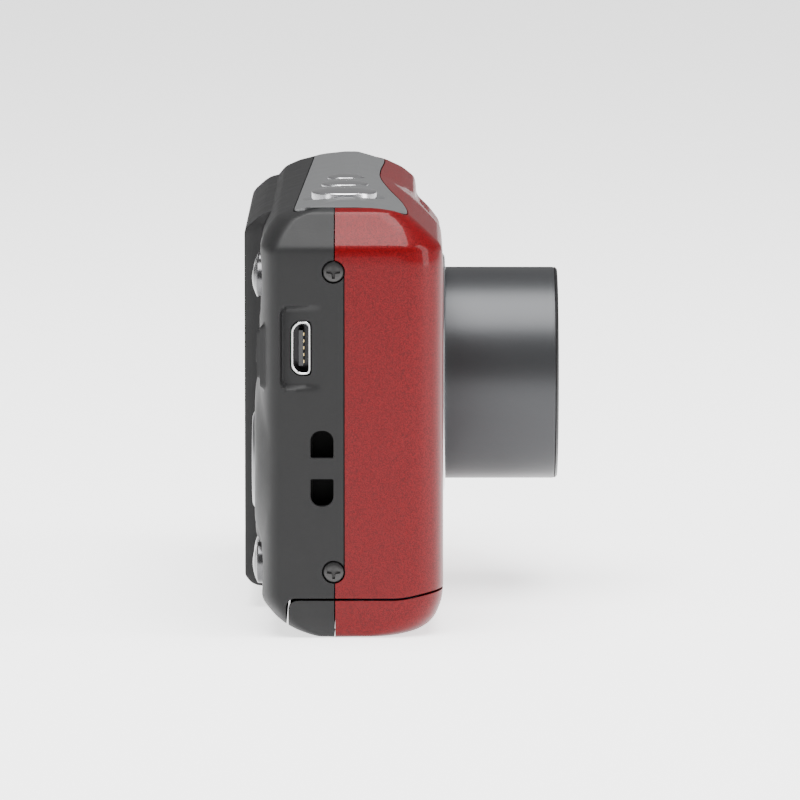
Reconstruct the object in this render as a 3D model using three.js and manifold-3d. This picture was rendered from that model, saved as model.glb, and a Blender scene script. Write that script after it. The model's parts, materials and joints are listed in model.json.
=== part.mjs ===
// Compact digital camera on two AA cells: shells, extending lens, keys, battery door and inner works.
// Millimetres, +Z up, lens towards -Y, the grip end towards -X.
// The origin is the middle of the flat base.
import * as THREE from 'three';
import { mergeVertices } from 'three/addons/utils/BufferGeometryUtils.js';
import Module from 'manifold-3d';

// ---------------------------------------------------------------- driving dimensions
const HALF_LENGTH = 46.5;
const HEIGHT = 60.5;
const FRONT_Y = -14.2;
const REAR_Y = 11.4;
const WALL = 1.5;
const GAP = 0.3;
const FRONT_CORNER = 6.5;
const REAR_CORNER = 3.0;
const CORNER_STEPS = 3;
const DECK_X = 5.0;

const SEAM_MID_Y = -0.4;
const SEAM_END_Y = 0.93;

const SCREW_Y = 1.07;
const SCREW_LOW_Z = 9.3;
const SCREW_TOP_DROP = 9.3;
const SCREW_HEAD_R = 1.5;
const SCREW_HEAD_T = 0.8;
const SCREW_SHANK_R = 0.8;
const SCREW_LENGTH = 4.2;

const DISPLAY_X0 = -17.5;
const DISPLAY_X1 = 44.5;
const DISPLAY_STEP = 2.6;
const DISPLAY_RIM = 2.0;
const WINDOW_T = 1.0;
const WINDOW_SHELF = 2.6;
const MODULE_T = 2.6;

const LENS_X = 6.0;
const LENS_Z = 31.2;
const BARREL_R = 15.4;
const BARREL_WALL = 1.0;
const BARREL_FRONT_Y = -31.0;
const BARREL_REAR_Y = -9.8;
const BARREL_TRAVEL = 14.0;
const RING_T = 0.45;
const CAM_CLEAR = 0.35;
const CAM_WALL = 0.95;
const CAM_TURN = THREE.MathUtils.degToRad(85);
const HOUSING_WALL = 1.2;
const LENS_REAR_Y = 5.0;
const PIN_R = 0.8;
const SLOT_CLEAR = 0.4;
const BEZEL_WIDTH = 1.85;
const BEZEL_PROUD = 0.5;
const INNER_WALL = 0.8;
const INNER_LENGTH = 15.0;
const APERTURE_RATIO = 0.66;
const BLADE_T = 0.4;
const FRONT_LENS_R = 8.5;
const SECOND_LENS_R = 5.0;
const FOCUS_LENS_R = 4.6;

const CELL_R = 7.15;
const CELL_LENGTH = 50.3;
const CELL_CLEAR = 0.25;
const CASE_WALL = 0.9;
const CELL_WEB = 0.6;
const CELL_Z = WALL + 1.2;
const CELL_Y = FRONT_Y + WALL + 0.65 + CELL_R;
const firstCellX = -HALF_LENGTH + WALL + 0.95 + CELL_R;
const CELL_X = [firstCellX, firstCellX + 2 * CELL_R + CELL_WEB];

const DOOR_SEAM_Z = 5.37;
const DOOR_FRONT_Z = 6.5;
const DOOR_REAR_Y = 7.63;
const DOOR_INNER_X = -11.8;
const DOOR_HINGE_R = 1.7;
const DOOR_SLIDE = 3.1;

const CARD_W = 24.0;
const CARD_L = 32.0;
const CARD_T = 2.1;
const CARD_X = -27.2;
const CARD_Y = 5.4;
const CARD_Z = WALL + 2.05;

const USB_Y = 5.58;
const USB_Z = 40.55;
const USB_W = 2.7;
const USB_H = 7.4;
const USB_SHELL = 0.3;
const USB_DEPTH = 5.2;

const EYELET_Y = 2.68;
const EYELET_Z = 23.8;
const EYELET_W = 3.2;
const EYELET_BAR = 2.9;
const EYELET_HOLE = 3.85;

const BUSH_X = 32.0;
const BUSH_Y = -2.2;
const BUSH_R = 4.6;
const BUSH_BORE_R = 2.55;
const BUSH_H = 7.0;

const TOP_KEYS = [
  { name: 'shutter_button', x: -27.8, radius: 4.65, proud: 0.9 },
  { name: 'power_button', x: -12.1, radius: 3.42, proud: 0.5 },
  { name: 'mode_button', x: -1.4, radius: 2.65, proud: 0.5 },
];
const TOP_KEY_Y = -0.3;
const KEY_CLEAR = 0.3;
const KEY_FLANGE = 0.6;
const KEY_LIP = 0.7;
const REAR_KEY_LIP = 0.35;
const REAR_KEYS = [
  { name: 'zoom_wide_button', x: -36.5, z: 49.4, radius: 2.7 },
  { name: 'zoom_tele_button', x: -26.0, z: 49.4, radius: 2.7 },
  { name: 'menu_button', x: -36.5, z: 9.3, radius: 2.95 },
  { name: 'playback_button', x: -26.0, z: 9.3, radius: 2.95 },
];
const REAR_KEY_PROUD = 1.1;
const NAV_X = -31.2;
const NAV_Z = 23.2;
const NAV_R = 7.45;
const NAV_HOLE_R = 3.1;
const OK_R = 2.75;
const NAV_PROUD = 1.2;
const RIBS = [
  { x: -40.6, z0: 34.4, z1: 43.8 },
  { x: -37.8, z0: 35.5, z1: 43.0 },
  { x: -35.0, z0: 37.3, z1: 40.7 },
];
const RIB_W = 1.0;
const RIB_PROUD = 0.6;

const BOARD_T = 0.8;
const BOARD_Y = 7.0;
const KEY_BOARD_Y = 8.0;
const KEY_BOARD_T = 0.3;

const FLASH_X = 33.5;
const FLASH_Z = 43.0;
const FLASH_W = 13.0;
const FLASH_H = 8.0;
const LAMP_X = 25.5;
const LAMP_Z = 48.2;
const LAMP_R = 1.6;

// ---------------------------------------------------------------- sizes that follow
const camInner = BARREL_R + CAM_CLEAR;
const camOuter = camInner + CAM_WALL;
const housingInner = camOuter + CAM_CLEAR;
const housingOuter = housingInner + HOUSING_WALL;
const bezelR = camInner + BEZEL_WIDTH;
const innerR = BARREL_R - BARREL_WALL;
const slideR = innerR - GAP;
const tubeR = slideR - INNER_WALL;
const apertureW = tubeR - GAP;
const apertureH = apertureW * APERTURE_RATIO;
const bladeTravel = apertureH / 2 + 0.2;

// ---------------------------------------------------------------- solids
const wasm = await Module();
wasm.setup();

function closedMesh(geometry) {
  const bare = geometry.clone();
  bare.deleteAttribute('normal');
  bare.deleteAttribute('uv');
  const merged = mergeVertices(bare, 1e-4);
  const index = Array.from(merged.index.array);
  const kept = [];
  for (let i = 0; i < index.length; i += 3) {
    const [a, b, c] = index.slice(i, i + 3);
    if (a !== b && b !== c && c !== a) {
      kept.push(a, b, c);
    }
  }
  return { positions: new Float32Array(merged.attributes.position.array), kept };
}

function signedVolume(positions, kept) {
  let volume = 0;
  const a = new THREE.Vector3();
  const b = new THREE.Vector3();
  const c = new THREE.Vector3();
  for (let i = 0; i < kept.length; i += 3) {
    a.fromArray(positions, kept[i] * 3);
    b.fromArray(positions, kept[i + 1] * 3);
    c.fromArray(positions, kept[i + 2] * 3);
    volume += a.dot(b.cross(c)) / 6;
  }
  return volume;
}

// A closed three.js geometry as a manifold solid with its faces pointing out.
function solid(geometry) {
  const { positions, kept } = closedMesh(geometry);
  if (signedVolume(positions, kept) < 0) {
    kept.reverse();
  }
  return new wasm.Manifold(new wasm.Mesh({
    numProp: 3,
    vertProperties: positions,
    triVerts: new Uint32Array(kept),
  }));
}

function geometryOf(body) {
  const mesh = body.getMesh();
  const geometry = new THREE.BufferGeometry();
  geometry.setAttribute('position', new THREE.BufferAttribute(new Float32Array(mesh.vertProperties), 3));
  geometry.setIndex(Array.from(mesh.triVerts));
  geometry.computeVertexNormals();
  return geometry;
}

function shapeOf(points, holes = []) {
  const shape = new THREE.Shape(points.map(([u, v]) => new THREE.Vector2(u, v)));
  for (const hole of holes) {
    shape.holes.push(new THREE.Path(hole.map(([u, v]) => new THREE.Vector2(u, v))));
  }
  return shape;
}

// An outline carried straight along one axis; points are (y, z), (x, z) or (x, y).
function along(axis, points, from, to) {
  const ordered = axis === 'y' ? points.map(([x, z]) => [z, x]) : points;
  const geometry = new THREE.ExtrudeGeometry(shapeOf(ordered), { depth: to - from, bevelEnabled: false });
  geometry.translate(0, 0, from);
  const turns = {
    x: new THREE.Matrix4().set(0, 0, 1, 0, 1, 0, 0, 0, 0, 1, 0, 0, 0, 0, 0, 1),
    y: new THREE.Matrix4().set(0, 1, 0, 0, 0, 0, 1, 0, 1, 0, 0, 0, 0, 0, 0, 1),
    z: new THREE.Matrix4(),
  };
  geometry.applyMatrix4(turns[axis]);
  return solid(geometry);
}

// A (radius, height) profile turned round an axis through a centre.
function turned(axis, profile, centre = [0, 0, 0], steps = 24) {
  const geometry = new THREE.LatheGeometry(profile.map(([r, h]) => new THREE.Vector2(r, h)), steps);
  if (axis === 'z') {
    geometry.rotateX(Math.PI / 2);
  }
  if (axis === 'x') {
    geometry.rotateZ(-Math.PI / 2);
  }
  geometry.translate(...centre);
  return solid(geometry);
}

function disc(axis, radius, from, to, centre = [0, 0, 0], steps = 24) {
  return turned(axis, [[0, from], [radius, from], [radius, to], [0, to]], centre, steps);
}

function tube(axis, inner, outer, from, to, centre = [0, 0, 0], steps = 32) {
  const profile = [[inner, from], [outer, from], [outer, to], [inner, to], [inner, from]];
  return turned(axis, profile, centre, steps);
}

function box(x0, x1, y0, y1, z0, z1) {
  const geometry = new THREE.BoxGeometry(x1 - x0, y1 - y0, z1 - z0);
  geometry.translate((x0 + x1) / 2, (y0 + y1) / 2, (z0 + z1) / 2);
  return solid(geometry);
}

function joined(...bodies) {
  return bodies.reduce((sum, body) => sum.add(body));
}

function cut(body, ...tools) {
  return tools.reduce((rest, tool) => rest.subtract(tool), body);
}

function roundedRect(u0, u1, v0, v1, radius, steps = 3) {
  const corners = [
    [u1 - radius, v0 + radius, -90],
    [u1 - radius, v1 - radius, 0],
    [u0 + radius, v1 - radius, 90],
    [u0 + radius, v0 + radius, 180],
  ];
  const points = [];
  for (const [u, v, start] of corners) {
    for (let i = 0; i <= steps; i += 1) {
      const angle = THREE.MathUtils.degToRad(start + (90 * i) / steps);
      points.push([u + radius * Math.cos(angle), v + radius * Math.sin(angle)]);
    }
  }
  return points;
}

// ---------------------------------------------------------------- materials
const paint = (color, roughness, metalness) => new THREE.MeshStandardMaterial({ color, roughness, metalness });
const MATERIAL = {
  red: () => paint(0x8c2a33, 0.28, 0.45),
  charcoal: () => paint(0x3c3c3e, 0.62, 0.0),
  topGrey: () => paint(0x919294, 0.42, 0.55),
  gunmetal: () => paint(0x6d7073, 0.34, 0.8),
  chrome: () => paint(0xd0d0d4, 0.2, 0.9),
  black: () => paint(0x17171a, 0.5, 0.0),
  glass: () => paint(0x26303c, 0.06, 0.0),
  board: () => paint(0x1f5a3a, 0.55, 0.1),
  steel: () => paint(0xa8aaac, 0.35, 0.9),
  brass: () => paint(0xb79a58, 0.35, 0.9),
  cell: () => paint(0x2d3a52, 0.35, 0.5),
};

const camera = new THREE.Group();

function piece(name, body, material, parent = camera, place = [0, 0, 0]) {
  const mesh = new THREE.Mesh(geometryOf(body), material);
  mesh.name = name;
  mesh.position.set(...place);
  parent.add(mesh);
}

// ---------------------------------------------------------------- body skin
// Insets at each height: end, front, front of the shutter deck, rear. The last value ties to the top.
const SKIN_FOOT = [
  [0.0, 2.9, 5.2, 5.2, 7.4],
  [0.7, 1.5, 3.0, 3.0, 5.0],
  [2.0, 0.6, 1.4, 1.4, 3.2],
  [4.6, 0.0, 0.3, 0.3, 0.3],
  [6.4, 0.0, 0.0, 0.0, 0.0],
];
const SKIN_HEAD = [
  [10.5, 0.0, 0.0, 0.0, 0.0],
  [8.1, 0.0, 1.8, 0.1, 0.0],
  [6.4, 0.0, 3.5, 0.3, 0.05],
  [5.0, 1.1, 3.7, 1.4, 0.4],
  [3.7, 2.1, 3.8, 2.8, 1.05],
  [2.2, 3.2, 5.0, 4.5, 2.1],
  [1.3, 3.7, 7.0, 6.4, 3.8],
  [0.5, 4.7, 9.8, 9.6, 6.5],
  [0.0, 6.5, 12.6, 12.6, 11.8],
];
const STATIONS = [
  ...SKIN_FOOT,
  ...SKIN_HEAD.map(([drop, ...insets]) => [HEIGHT - drop, ...insets]),
];
const CROWN_Z = HEIGHT - SKIN_HEAD.at(-2)[0];

function ring([z, end, front, deck, rear], offset) {
  const half = HALF_LENGTH - end - offset;
  const rearY = REAR_Y - rear - offset;
  const frontAt = (x) => {
    const blend = THREE.MathUtils.smoothstep(x, -DECK_X, DECK_X);
    return FRONT_Y + offset + deck + (front - deck) * blend;
  };
  const depth = rearY - frontAt(half);
  const fr = Math.min(FRONT_CORNER, depth * 0.42);
  const rr = Math.min(REAR_CORNER, depth * 0.42);
  const points = [];
  for (const x of [-DECK_X, -DECK_X / 2, 0, DECK_X / 2, DECK_X]) {
    points.push([x, frontAt(x)]);
  }
  const corners = [
    [half - fr, frontAt(half) + fr, fr, -90],
    [half - rr, rearY - rr, rr, 0],
    [-half + rr, rearY - rr, rr, 90],
    [-half + fr, frontAt(-half) + fr, fr, 180],
  ];
  for (const [x, y, radius, start] of corners) {
    for (let i = 0; i <= CORNER_STEPS; i += 1) {
      const angle = THREE.MathUtils.degToRad(start + (90 * i) / CORNER_STEPS);
      points.push([x + radius * Math.cos(angle), y + radius * Math.sin(angle)]);
    }
  }
  return points.map(([x, y]) => [x, y, z]);
}

// Rings stacked into a closed solid; an offset gives the hollow inside the wall.
function skin(offset) {
  const stations = offset > 0 ? STATIONS.slice(0, -1) : STATIONS;
  const squeeze = (z) => (offset > 0 ? offset + (z / CROWN_Z) * (HEIGHT - 2 * offset) : z);
  const rings = stations.map(([z, ...insets]) => {
    return ring([z, ...insets], offset).map(([x, y]) => [x, y, squeeze(z)]);
  });
  const count = rings[0].length;
  const positions = rings.flat(2);
  const index = [];
  for (let r = 0; r + 1 < rings.length; r += 1) {
    for (let i = 0; i < count; i += 1) {
      const a = r * count + i;
      const b = r * count + ((i + 1) % count);
      index.push(a, b, b + count, a, b + count, a + count);
    }
  }
  const top = (rings.length - 1) * count;
  for (let i = 1; i + 1 < count; i += 1) {
    index.push(0, i + 1, i);
    index.push(top, top + i, top + i + 1);
  }
  const geometry = new THREE.BufferGeometry();
  geometry.setAttribute('position', new THREE.BufferAttribute(new Float32Array(positions), 3));
  geometry.setIndex(index);
  return solid(geometry);
}

// ---------------------------------------------------------------- display block on the back
const BLOCK_Y = REAR_Y + DISPLAY_STEP;
const BLOCK_Z0 = 4.9;
const BLOCK_Z1 = HEIGHT - 6.8;
const blockSide = [
  [REAR_Y - 2.5, BLOCK_Z0 + 1.5],
  [REAR_Y - 0.2, BLOCK_Z0 - 1.3],
  [BLOCK_Y, BLOCK_Z0],
  [BLOCK_Y, BLOCK_Z1],
  [BLOCK_Y - 2.0, BLOCK_Z1 + 2.2],
  [BLOCK_Y - 3.7, BLOCK_Z1 + 3.0],
  [REAR_Y - 2.5, BLOCK_Z1 + 1.0],
];
const blockPlan = roundedRect(DISPLAY_X0, DISPLAY_X1, REAR_Y - 8, BLOCK_Y, 1.6, 2);
const displayBlock = along('x', blockSide, DISPLAY_X0, DISPLAY_X1)
  .intersect(along('z', blockPlan, 0, HEIGHT));

const WINDOW = {
  x0: DISPLAY_X0 + DISPLAY_RIM,
  x1: DISPLAY_X1 - DISPLAY_RIM,
  z0: BLOCK_Z0 + DISPLAY_RIM,
  z1: BLOCK_Z1 - DISPLAY_RIM + 0.3,
};
const windowFace = BLOCK_Y - 0.1;
const windowBack = windowFace - WINDOW_T;
const windowSeat = box(WINDOW.x0, WINDOW.x1, windowBack - GAP, BLOCK_Y + 1, WINDOW.z0, WINDOW.z1);
const windowHole = box(
  WINDOW.x0 + WINDOW_SHELF, WINDOW.x1 - WINDOW_SHELF, REAR_Y - 3, BLOCK_Y,
  WINDOW.z0 + WINDOW_SHELF, WINDOW.z1 - WINDOW_SHELF,
);
const moduleBack = windowBack - GAP - WALL + 0.5;
const blockHollow = box(
  DISPLAY_X0 + WALL, DISPLAY_X1 - WALL, REAR_Y - 3, moduleBack + 0.1,
  BLOCK_Z0 + WALL, BLOCK_Z1 - WALL,
);

// ---------------------------------------------------------------- shells
const outer = skin(0).add(displayBlock);
const hollow = skin(WALL).add(blockHollow);
const shell = outer.subtract(hollow);

const SCREW_TOP_Z = HEIGHT - SCREW_TOP_DROP;
function seamHalf(shift, side) {
  const far = side * 40;
  return along('x', [
    [far, -5],
    [SEAM_END_Y + shift, -5],
    [SEAM_END_Y + shift, SCREW_LOW_Z],
    [SEAM_MID_Y + shift, SCREW_LOW_Z],
    [SEAM_MID_Y + shift, SCREW_TOP_Z],
    [SEAM_END_Y + shift, SCREW_TOP_Z],
    [SEAM_END_Y + shift, HEIGHT + 5],
    [far, HEIGHT + 5],
  ], -HALF_LENGTH - 5, HALF_LENGTH + 5);
}

// Top plate outline: straight behind, a shallow S in front.
const TOP_FRONT = [
  [-0.93, -9.4], [-0.78, -9.5], [-0.55, -8.2], [-0.3, -6.7], [-0.05, -5.7],
  [0.19, -5.2], [0.44, -5.3], [0.74, -5.9], [0.92, -5.9],
];
function topOutline(grow) {
  const front = TOP_FRONT.map(([share, y]) => [share * HALF_LENGTH, y - grow]);
  const start = front[0];
  const end = front.at(-1);
  start[0] -= grow;
  end[0] += grow;
  return [...front, [end[0], 4.2 + grow], [end[0] - 2, 4.8 + grow], [start[0] + 2.5, 6.6 + grow],
    [start[0], 5.4 + grow]];
}
const TOP_FLOOR = HEIGHT - 4.2;
const topSeat = along('z', topOutline(GAP / 2), TOP_FLOOR, HEIGHT + 3);
const topRegion = along('z', topOutline(-GAP / 2), TOP_FLOOR, HEIGHT + 3);

// Battery door: the base and the skirt under the seam, from the grip end to the hinge.
function doorRegion(grow) {
  const side = [
    [FRONT_Y - 3, -3],
    [DOOR_REAR_Y + grow, -3],
    [DOOR_REAR_Y + grow, DOOR_SEAM_Z - 1 + grow],
    [DOOR_REAR_Y - 1, DOOR_SEAM_Z + grow],
    [FRONT_Y + 4, DOOR_SEAM_Z + grow],
    [FRONT_Y + 1, DOOR_FRONT_Z - 0.3 + grow],
    [FRONT_Y - 3, DOOR_FRONT_Z + grow],
  ];
  return along('x', side, -HALF_LENGTH - 3, DOOR_INNER_X + grow);
}

const screwPlaces = [];
for (const end of [-1, 1]) {
  for (const z of [SCREW_LOW_Z, SCREW_TOP_Z]) {
    screwPlaces.push({ end, z });
  }
}
function screwRelief({ end, z }) {
  const face = end * HALF_LENGTH;
  const sink = [face - end * (SCREW_HEAD_T + 0.2), face + end * 2].sort((a, b) => a - b);
  const through = [face - end * 5, face + end * 2].sort((a, b) => a - b);
  const centre = [0, SCREW_Y, z];
  return disc('x', SCREW_HEAD_R + 0.2, ...sink, centre, 20)
    .add(disc('x', SCREW_SHANK_R + GAP, ...through, centre, 12));
}
const screwReliefs = joined(...screwPlaces.map(screwRelief));

// Front shell.
const BASE_SCREWS = [[8, 4.5]];
const baseScrewR = 0.8;
const baseScrewReliefs = joined(...BASE_SCREWS.map(([x, y]) => {
  const centre = [x, y, 0];
  return disc('z', 1.5, -1, 0.95, centre, 16).add(disc('z', baseScrewR + GAP, -1, 3, centre, 12));
}));
const bushHole = disc('z', BUSH_R + GAP, -1, WALL + 2, [BUSH_X, BUSH_Y, 0], 24);
const flashHole = box(
  FLASH_X - FLASH_W / 2 - GAP, FLASH_X + FLASH_W / 2 + GAP, FRONT_Y - 2, FRONT_Y + WALL + 1,
  FLASH_Z - FLASH_H / 2 - GAP, FLASH_Z + FLASH_H / 2 + GAP,
);
const lampHole = disc('y', LAMP_R + GAP, FRONT_Y - 2, FRONT_Y + WALL + 1, [LAMP_X, 0, LAMP_Z], 16);
const lensHole = disc('y', bezelR + GAP, FRONT_Y - 2, FRONT_Y + WALL + 1, [LENS_X, 0, LENS_Z], 32);
const frontShell = cut(
  shell.intersect(seamHalf(-GAP / 2, -1)),
  topSeat, doorRegion(GAP / 2), lensHole, flashHole, lampHole, screwReliefs, baseScrewReliefs, bushHole,
);
piece('front_cover', frontShell, MATERIAL.red());

// Rear shell with the display block, key holes, thumb ribs, strap eyelet and USB opening.
function keyRelief({ x, z, radius }) {
  const centre = [x, 0, z];
  return disc('y', radius + KEY_CLEAR, REAR_Y - 4, REAR_Y + 2, centre, 20)
    .add(turned('y', [[0, REAR_Y - 0.6], [radius + 0.6, REAR_Y - 0.6], [radius + 1.5, REAR_Y + 0.3],
      [0, REAR_Y + 0.3]], centre, 20));
}
const ribs = joined(...RIBS.map(({ x, z0, z1 }) => {
  return along('x', roundedRect(REAR_Y - 1, REAR_Y + RIB_PROUD, z0, z1, 0.55, 2), x - RIB_W / 2, x + RIB_W / 2);
}));
function eyeletHole(sign) {
  const inner = EYELET_Z + (sign * EYELET_BAR) / 2;
  const outerEnd = inner + sign * EYELET_HOLE;
  const [z0, z1] = [inner, outerEnd].sort((a, b) => a - b);
  const outline = roundedRect(EYELET_Y - EYELET_W / 2, EYELET_Y + EYELET_W / 2, z0, z1, 1.3, 3);
  return along('x', outline, -HALF_LENGTH - 2, -HALF_LENGTH + WALL + 1);
}
const usbHole = along('x', roundedRect(
  USB_Y - USB_W / 2 - GAP, USB_Y + USB_W / 2 + GAP, USB_Z - USB_H / 2 - GAP, USB_Z + USB_H / 2 + GAP, 0.5, 2,
), -HALF_LENGTH - 2, -HALF_LENGTH + WALL + 1);
const navHole = disc('y', NAV_R + KEY_CLEAR, REAR_Y - 4, REAR_Y + 2, [NAV_X, 0, NAV_Z], 32);
const rearShell = cut(
  shell.intersect(seamHalf(GAP / 2, 1)).add(ribs),
  topSeat, doorRegion(GAP / 2), windowSeat, windowHole, navHole, usbHole, eyeletHole(1), eyeletHole(-1),
  screwReliefs, baseScrewReliefs, bushHole, ...REAR_KEYS.map(keyRelief),
);
piece('rear_cover', rearShell, MATERIAL.charcoal());

// Top plate.
const topHoles = TOP_KEYS.map(({ x, radius }) => {
  const centre = [x, TOP_KEY_Y, 0];
  return disc('z', radius + KEY_CLEAR, HEIGHT - 8, HEIGHT + 2, centre, 24);
});
const topPlate = cut(shell.intersect(topRegion), ...topHoles);
piece('top_plate', topPlate, MATERIAL.topGrey());

// Door: charcoal tray and a painted front skirt, with a round inner end on the hinge line.
const HINGE_X = DOOR_INNER_X - DOOR_HINGE_R - GAP / 2;
const doorShell = shell.intersect(doorRegion(-GAP / 2));
const roundEnd = cut(
  box(HINGE_X, DOOR_INNER_X + 1, FRONT_Y - 1, REAR_Y, -1, 8),
  disc('y', DOOR_HINGE_R, FRONT_Y - 2, REAR_Y + 1, [HINGE_X, 0, DOOR_HINGE_R], 24),
);
const doorSplit = box(-HALF_LENGTH - 2, 0, -40, SEAM_END_Y - GAP / 2, -3, 20);
const doorRest = box(-HALF_LENGTH - 2, 0, SEAM_END_Y + GAP / 2, 40, -3, 20);
const BRACKET_Y = [2.0, 3.8];
const knuckle = (y0, y1) => disc('y', DOOR_HINGE_R, y0, y1, [HINGE_X, 0, DOOR_HINGE_R], 24);
const hingeKnuckles = joined(
  knuckle(SEAM_END_Y + GAP / 2, BRACKET_Y[0] - GAP),
  knuckle(BRACKET_Y[1] + GAP, BRACKET_Y[1] + 2.2),
);
const bracketNotch = box(
  HINGE_X - DOOR_HINGE_R - 0.5, DOOR_INNER_X + 1, BRACKET_Y[0] - GAP, BRACKET_Y[1] + GAP, -1, 8,
);
// The door slides towards the grip end before it swings, so the room it leaves round each cell is a slot.
const reliefR = CELL_R + CELL_CLEAR;
const cellReliefs = CELL_X.map((x) => joined(
  disc('z', reliefR, CELL_Z - GAP, 20, [x, CELL_Y, 0], 24),
  box(x, x + DOOR_SLIDE, CELL_Y - reliefR, CELL_Y + reliefR, CELL_Z - GAP, 20),
  disc('z', reliefR, CELL_Z - GAP, 20, [x + DOOR_SLIDE, CELL_Y, 0], 24),
));
const pinBore = disc('y', 0.65, -3.5, 6.5, [HINGE_X, 0, DOOR_HINGE_R], 16);
const doorTray = cut(doorShell.intersect(doorRest), roundEnd, bracketNotch).add(hingeKnuckles);
piece('battery_door', cut(doorTray, pinBore, ...cellReliefs), MATERIAL.charcoal());
const doorSkirt = cut(doorShell.intersect(doorSplit), roundEnd, pinBore, ...cellReliefs);
piece('battery_door_trim', doorSkirt, MATERIAL.red());


// Steel strip and pin that carry the door: the strip slides with it, the door swings on the pin.
const kneeX = HINGE_X + DOOR_HINGE_R + 1.6;
const leafZ = DOOR_HINGE_R + 0.55;
const doorBracket = cut(
  joined(
    disc('y', DOOR_HINGE_R - 0.4, ...BRACKET_Y, [HINGE_X, 0, DOOR_HINGE_R], 20),
    box(HINGE_X, kneeX + 7, ...BRACKET_Y, leafZ, leafZ + 0.7),
  ),
  disc('y', 0.7, BRACKET_Y[0] - 1, BRACKET_Y[1] + 1, [HINGE_X, 0, DOOR_HINGE_R], 16),
);
piece('door_hinge_bracket', doorBracket, MATERIAL.steel());
piece('door_hinge_pin', disc('y', 0.4, -3.2, 5.9, [HINGE_X, 0, DOOR_HINGE_R], 12), MATERIAL.steel());

// ---------------------------------------------------------------- fasteners
// Cross-recess screws: four in the end faces, two in the base.
function screw(axis, sign, place, headR, shankR, length) {
  const out = (h) => sign * h;
  const profile = [[0, out(-length)], [shankR, out(-length)], [shankR, out(-SCREW_HEAD_T)],
    [headR, out(-SCREW_HEAD_T)], [headR, 0], [0, 0]];
  const slot = headR * 0.6;
  const body = turned(axis, profile, place, 12);
  const reach = 0.4;
  const bars = axis === 'x'
    ? [box(-reach, reach, -slot, slot, -0.2, 0.2), box(-reach, reach, -0.2, 0.2, -slot, slot)]
    : [box(-slot, slot, -0.2, 0.2, -reach, reach), box(-0.2, 0.2, -slot, slot, -reach, reach)];
  return cut(body, ...bars.map((bar) => bar.translate(place)));
}
screwPlaces.forEach(({ end, z }) => {
  const name = `side_screw_${end < 0 ? 'grip' : 'far'}_${z < HEIGHT / 2 ? 'low' : 'top'}`;
  const place = [end * (HALF_LENGTH - 0.1), SCREW_Y, z];
  piece(name, screw('x', end, place, SCREW_HEAD_R, SCREW_SHANK_R, SCREW_LENGTH), MATERIAL.black());
});
BASE_SCREWS.forEach(([x, y], i) => {
  piece(`base_screw_${i + 1}`, screw('z', -1, [x, y, 0.05], 1.3, baseScrewR, 3.6), MATERIAL.black());
});

// ---------------------------------------------------------------- lens
const lens = new THREE.Group();
lens.position.set(LENS_X, 0, LENS_Z);
camera.add(lens);

const camFront = FRONT_Y + WALL + 0.5;
const pinY = BARREL_REAR_Y - PIN_R - 0.3;
const slotHalf = PIN_R + SLOT_CLEAR;
const PINS = [90, 210, 330].map((angle) => THREE.MathUtils.degToRad(angle));

piece('lens_bezel', turned('y', [
  [camInner, FRONT_Y + WALL + 0.2],
  [bezelR, FRONT_Y + WALL + 0.2],
  [bezelR, FRONT_Y - 0.2],
  [bezelR - 0.6, FRONT_Y - BEZEL_PROUD],
  [camInner, FRONT_Y - BEZEL_PROUD + 0.2],
  [camInner, FRONT_Y + WALL + 0.2],
], [0, 0, 0], 32), MATERIAL.chrome(), lens);

function spoke(angle, r0, r1, halfWidth, y0, y1) {
  const bar = along('z', [[r0, y0], [r1, y0], [r1, y1], [r0, y1]], -halfWidth, halfWidth);
  return bar.rotate([0, -THREE.MathUtils.radToDeg(angle), 0]);
}
const grooves = PINS.map((angle) => {
  const rearEnd = pinY + BARREL_TRAVEL + slotHalf;
  return spoke(angle, housingInner - 1, housingOuter + 1, slotHalf, pinY - slotHalf, rearEnd);
});
const housing = cut(tube('y', housingInner, housingOuter, camFront, LENS_REAR_Y), ...grooves);
piece('lens_housing', housing, MATERIAL.black(), lens);

// A slot that winds round the cam ring: a square-ended strip swept along a helix.
function helixSlot(start) {
  const steps = 8;
  const positions = [];
  const index = [];
  const margin = slotHalf / camInner;
  for (let i = 0; i <= steps; i += 1) {
    const share = i / steps;
    const angle = start - margin + share * (CAM_TURN + 2 * margin);
    const travel = THREE.MathUtils.clamp((angle - start) / CAM_TURN, 0, 1) * BARREL_TRAVEL;
    const section = [[camInner - 1, -1], [camOuter + 1, -1], [camOuter + 1, 1], [camInner - 1, 1]];
    for (const [radius, shift] of section) {
      const y = pinY + travel + shift * slotHalf * 1.3;
      positions.push(radius * Math.cos(angle), y, radius * Math.sin(angle));
    }
  }
  for (let i = 0; i < steps; i += 1) {
    for (let k = 0; k < 4; k += 1) {
      const a = 4 * i + k;
      const b = 4 * i + ((k + 1) % 4);
      index.push(a, b, b + 4, a, b + 4, a + 4);
    }
  }
  const last = 4 * steps;
  index.push(0, 2, 1, 0, 3, 2, last, last + 1, last + 2, last, last + 2, last + 3);
  const geometry = new THREE.BufferGeometry();
  geometry.setAttribute('position', new THREE.BufferAttribute(new Float32Array(positions), 3));
  geometry.setIndex(index);
  return solid(geometry);
}
const camSlots = PINS.map((angle) => helixSlot(angle));
const camBlank = tube('y', camInner, camOuter, camFront + 0.1, LENS_REAR_Y - 0.2, [0, 0, 0], 32);
const camRing = cut(camBlank, ...camSlots);
piece('cam_ring', camRing, MATERIAL.steel(), lens);

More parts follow.
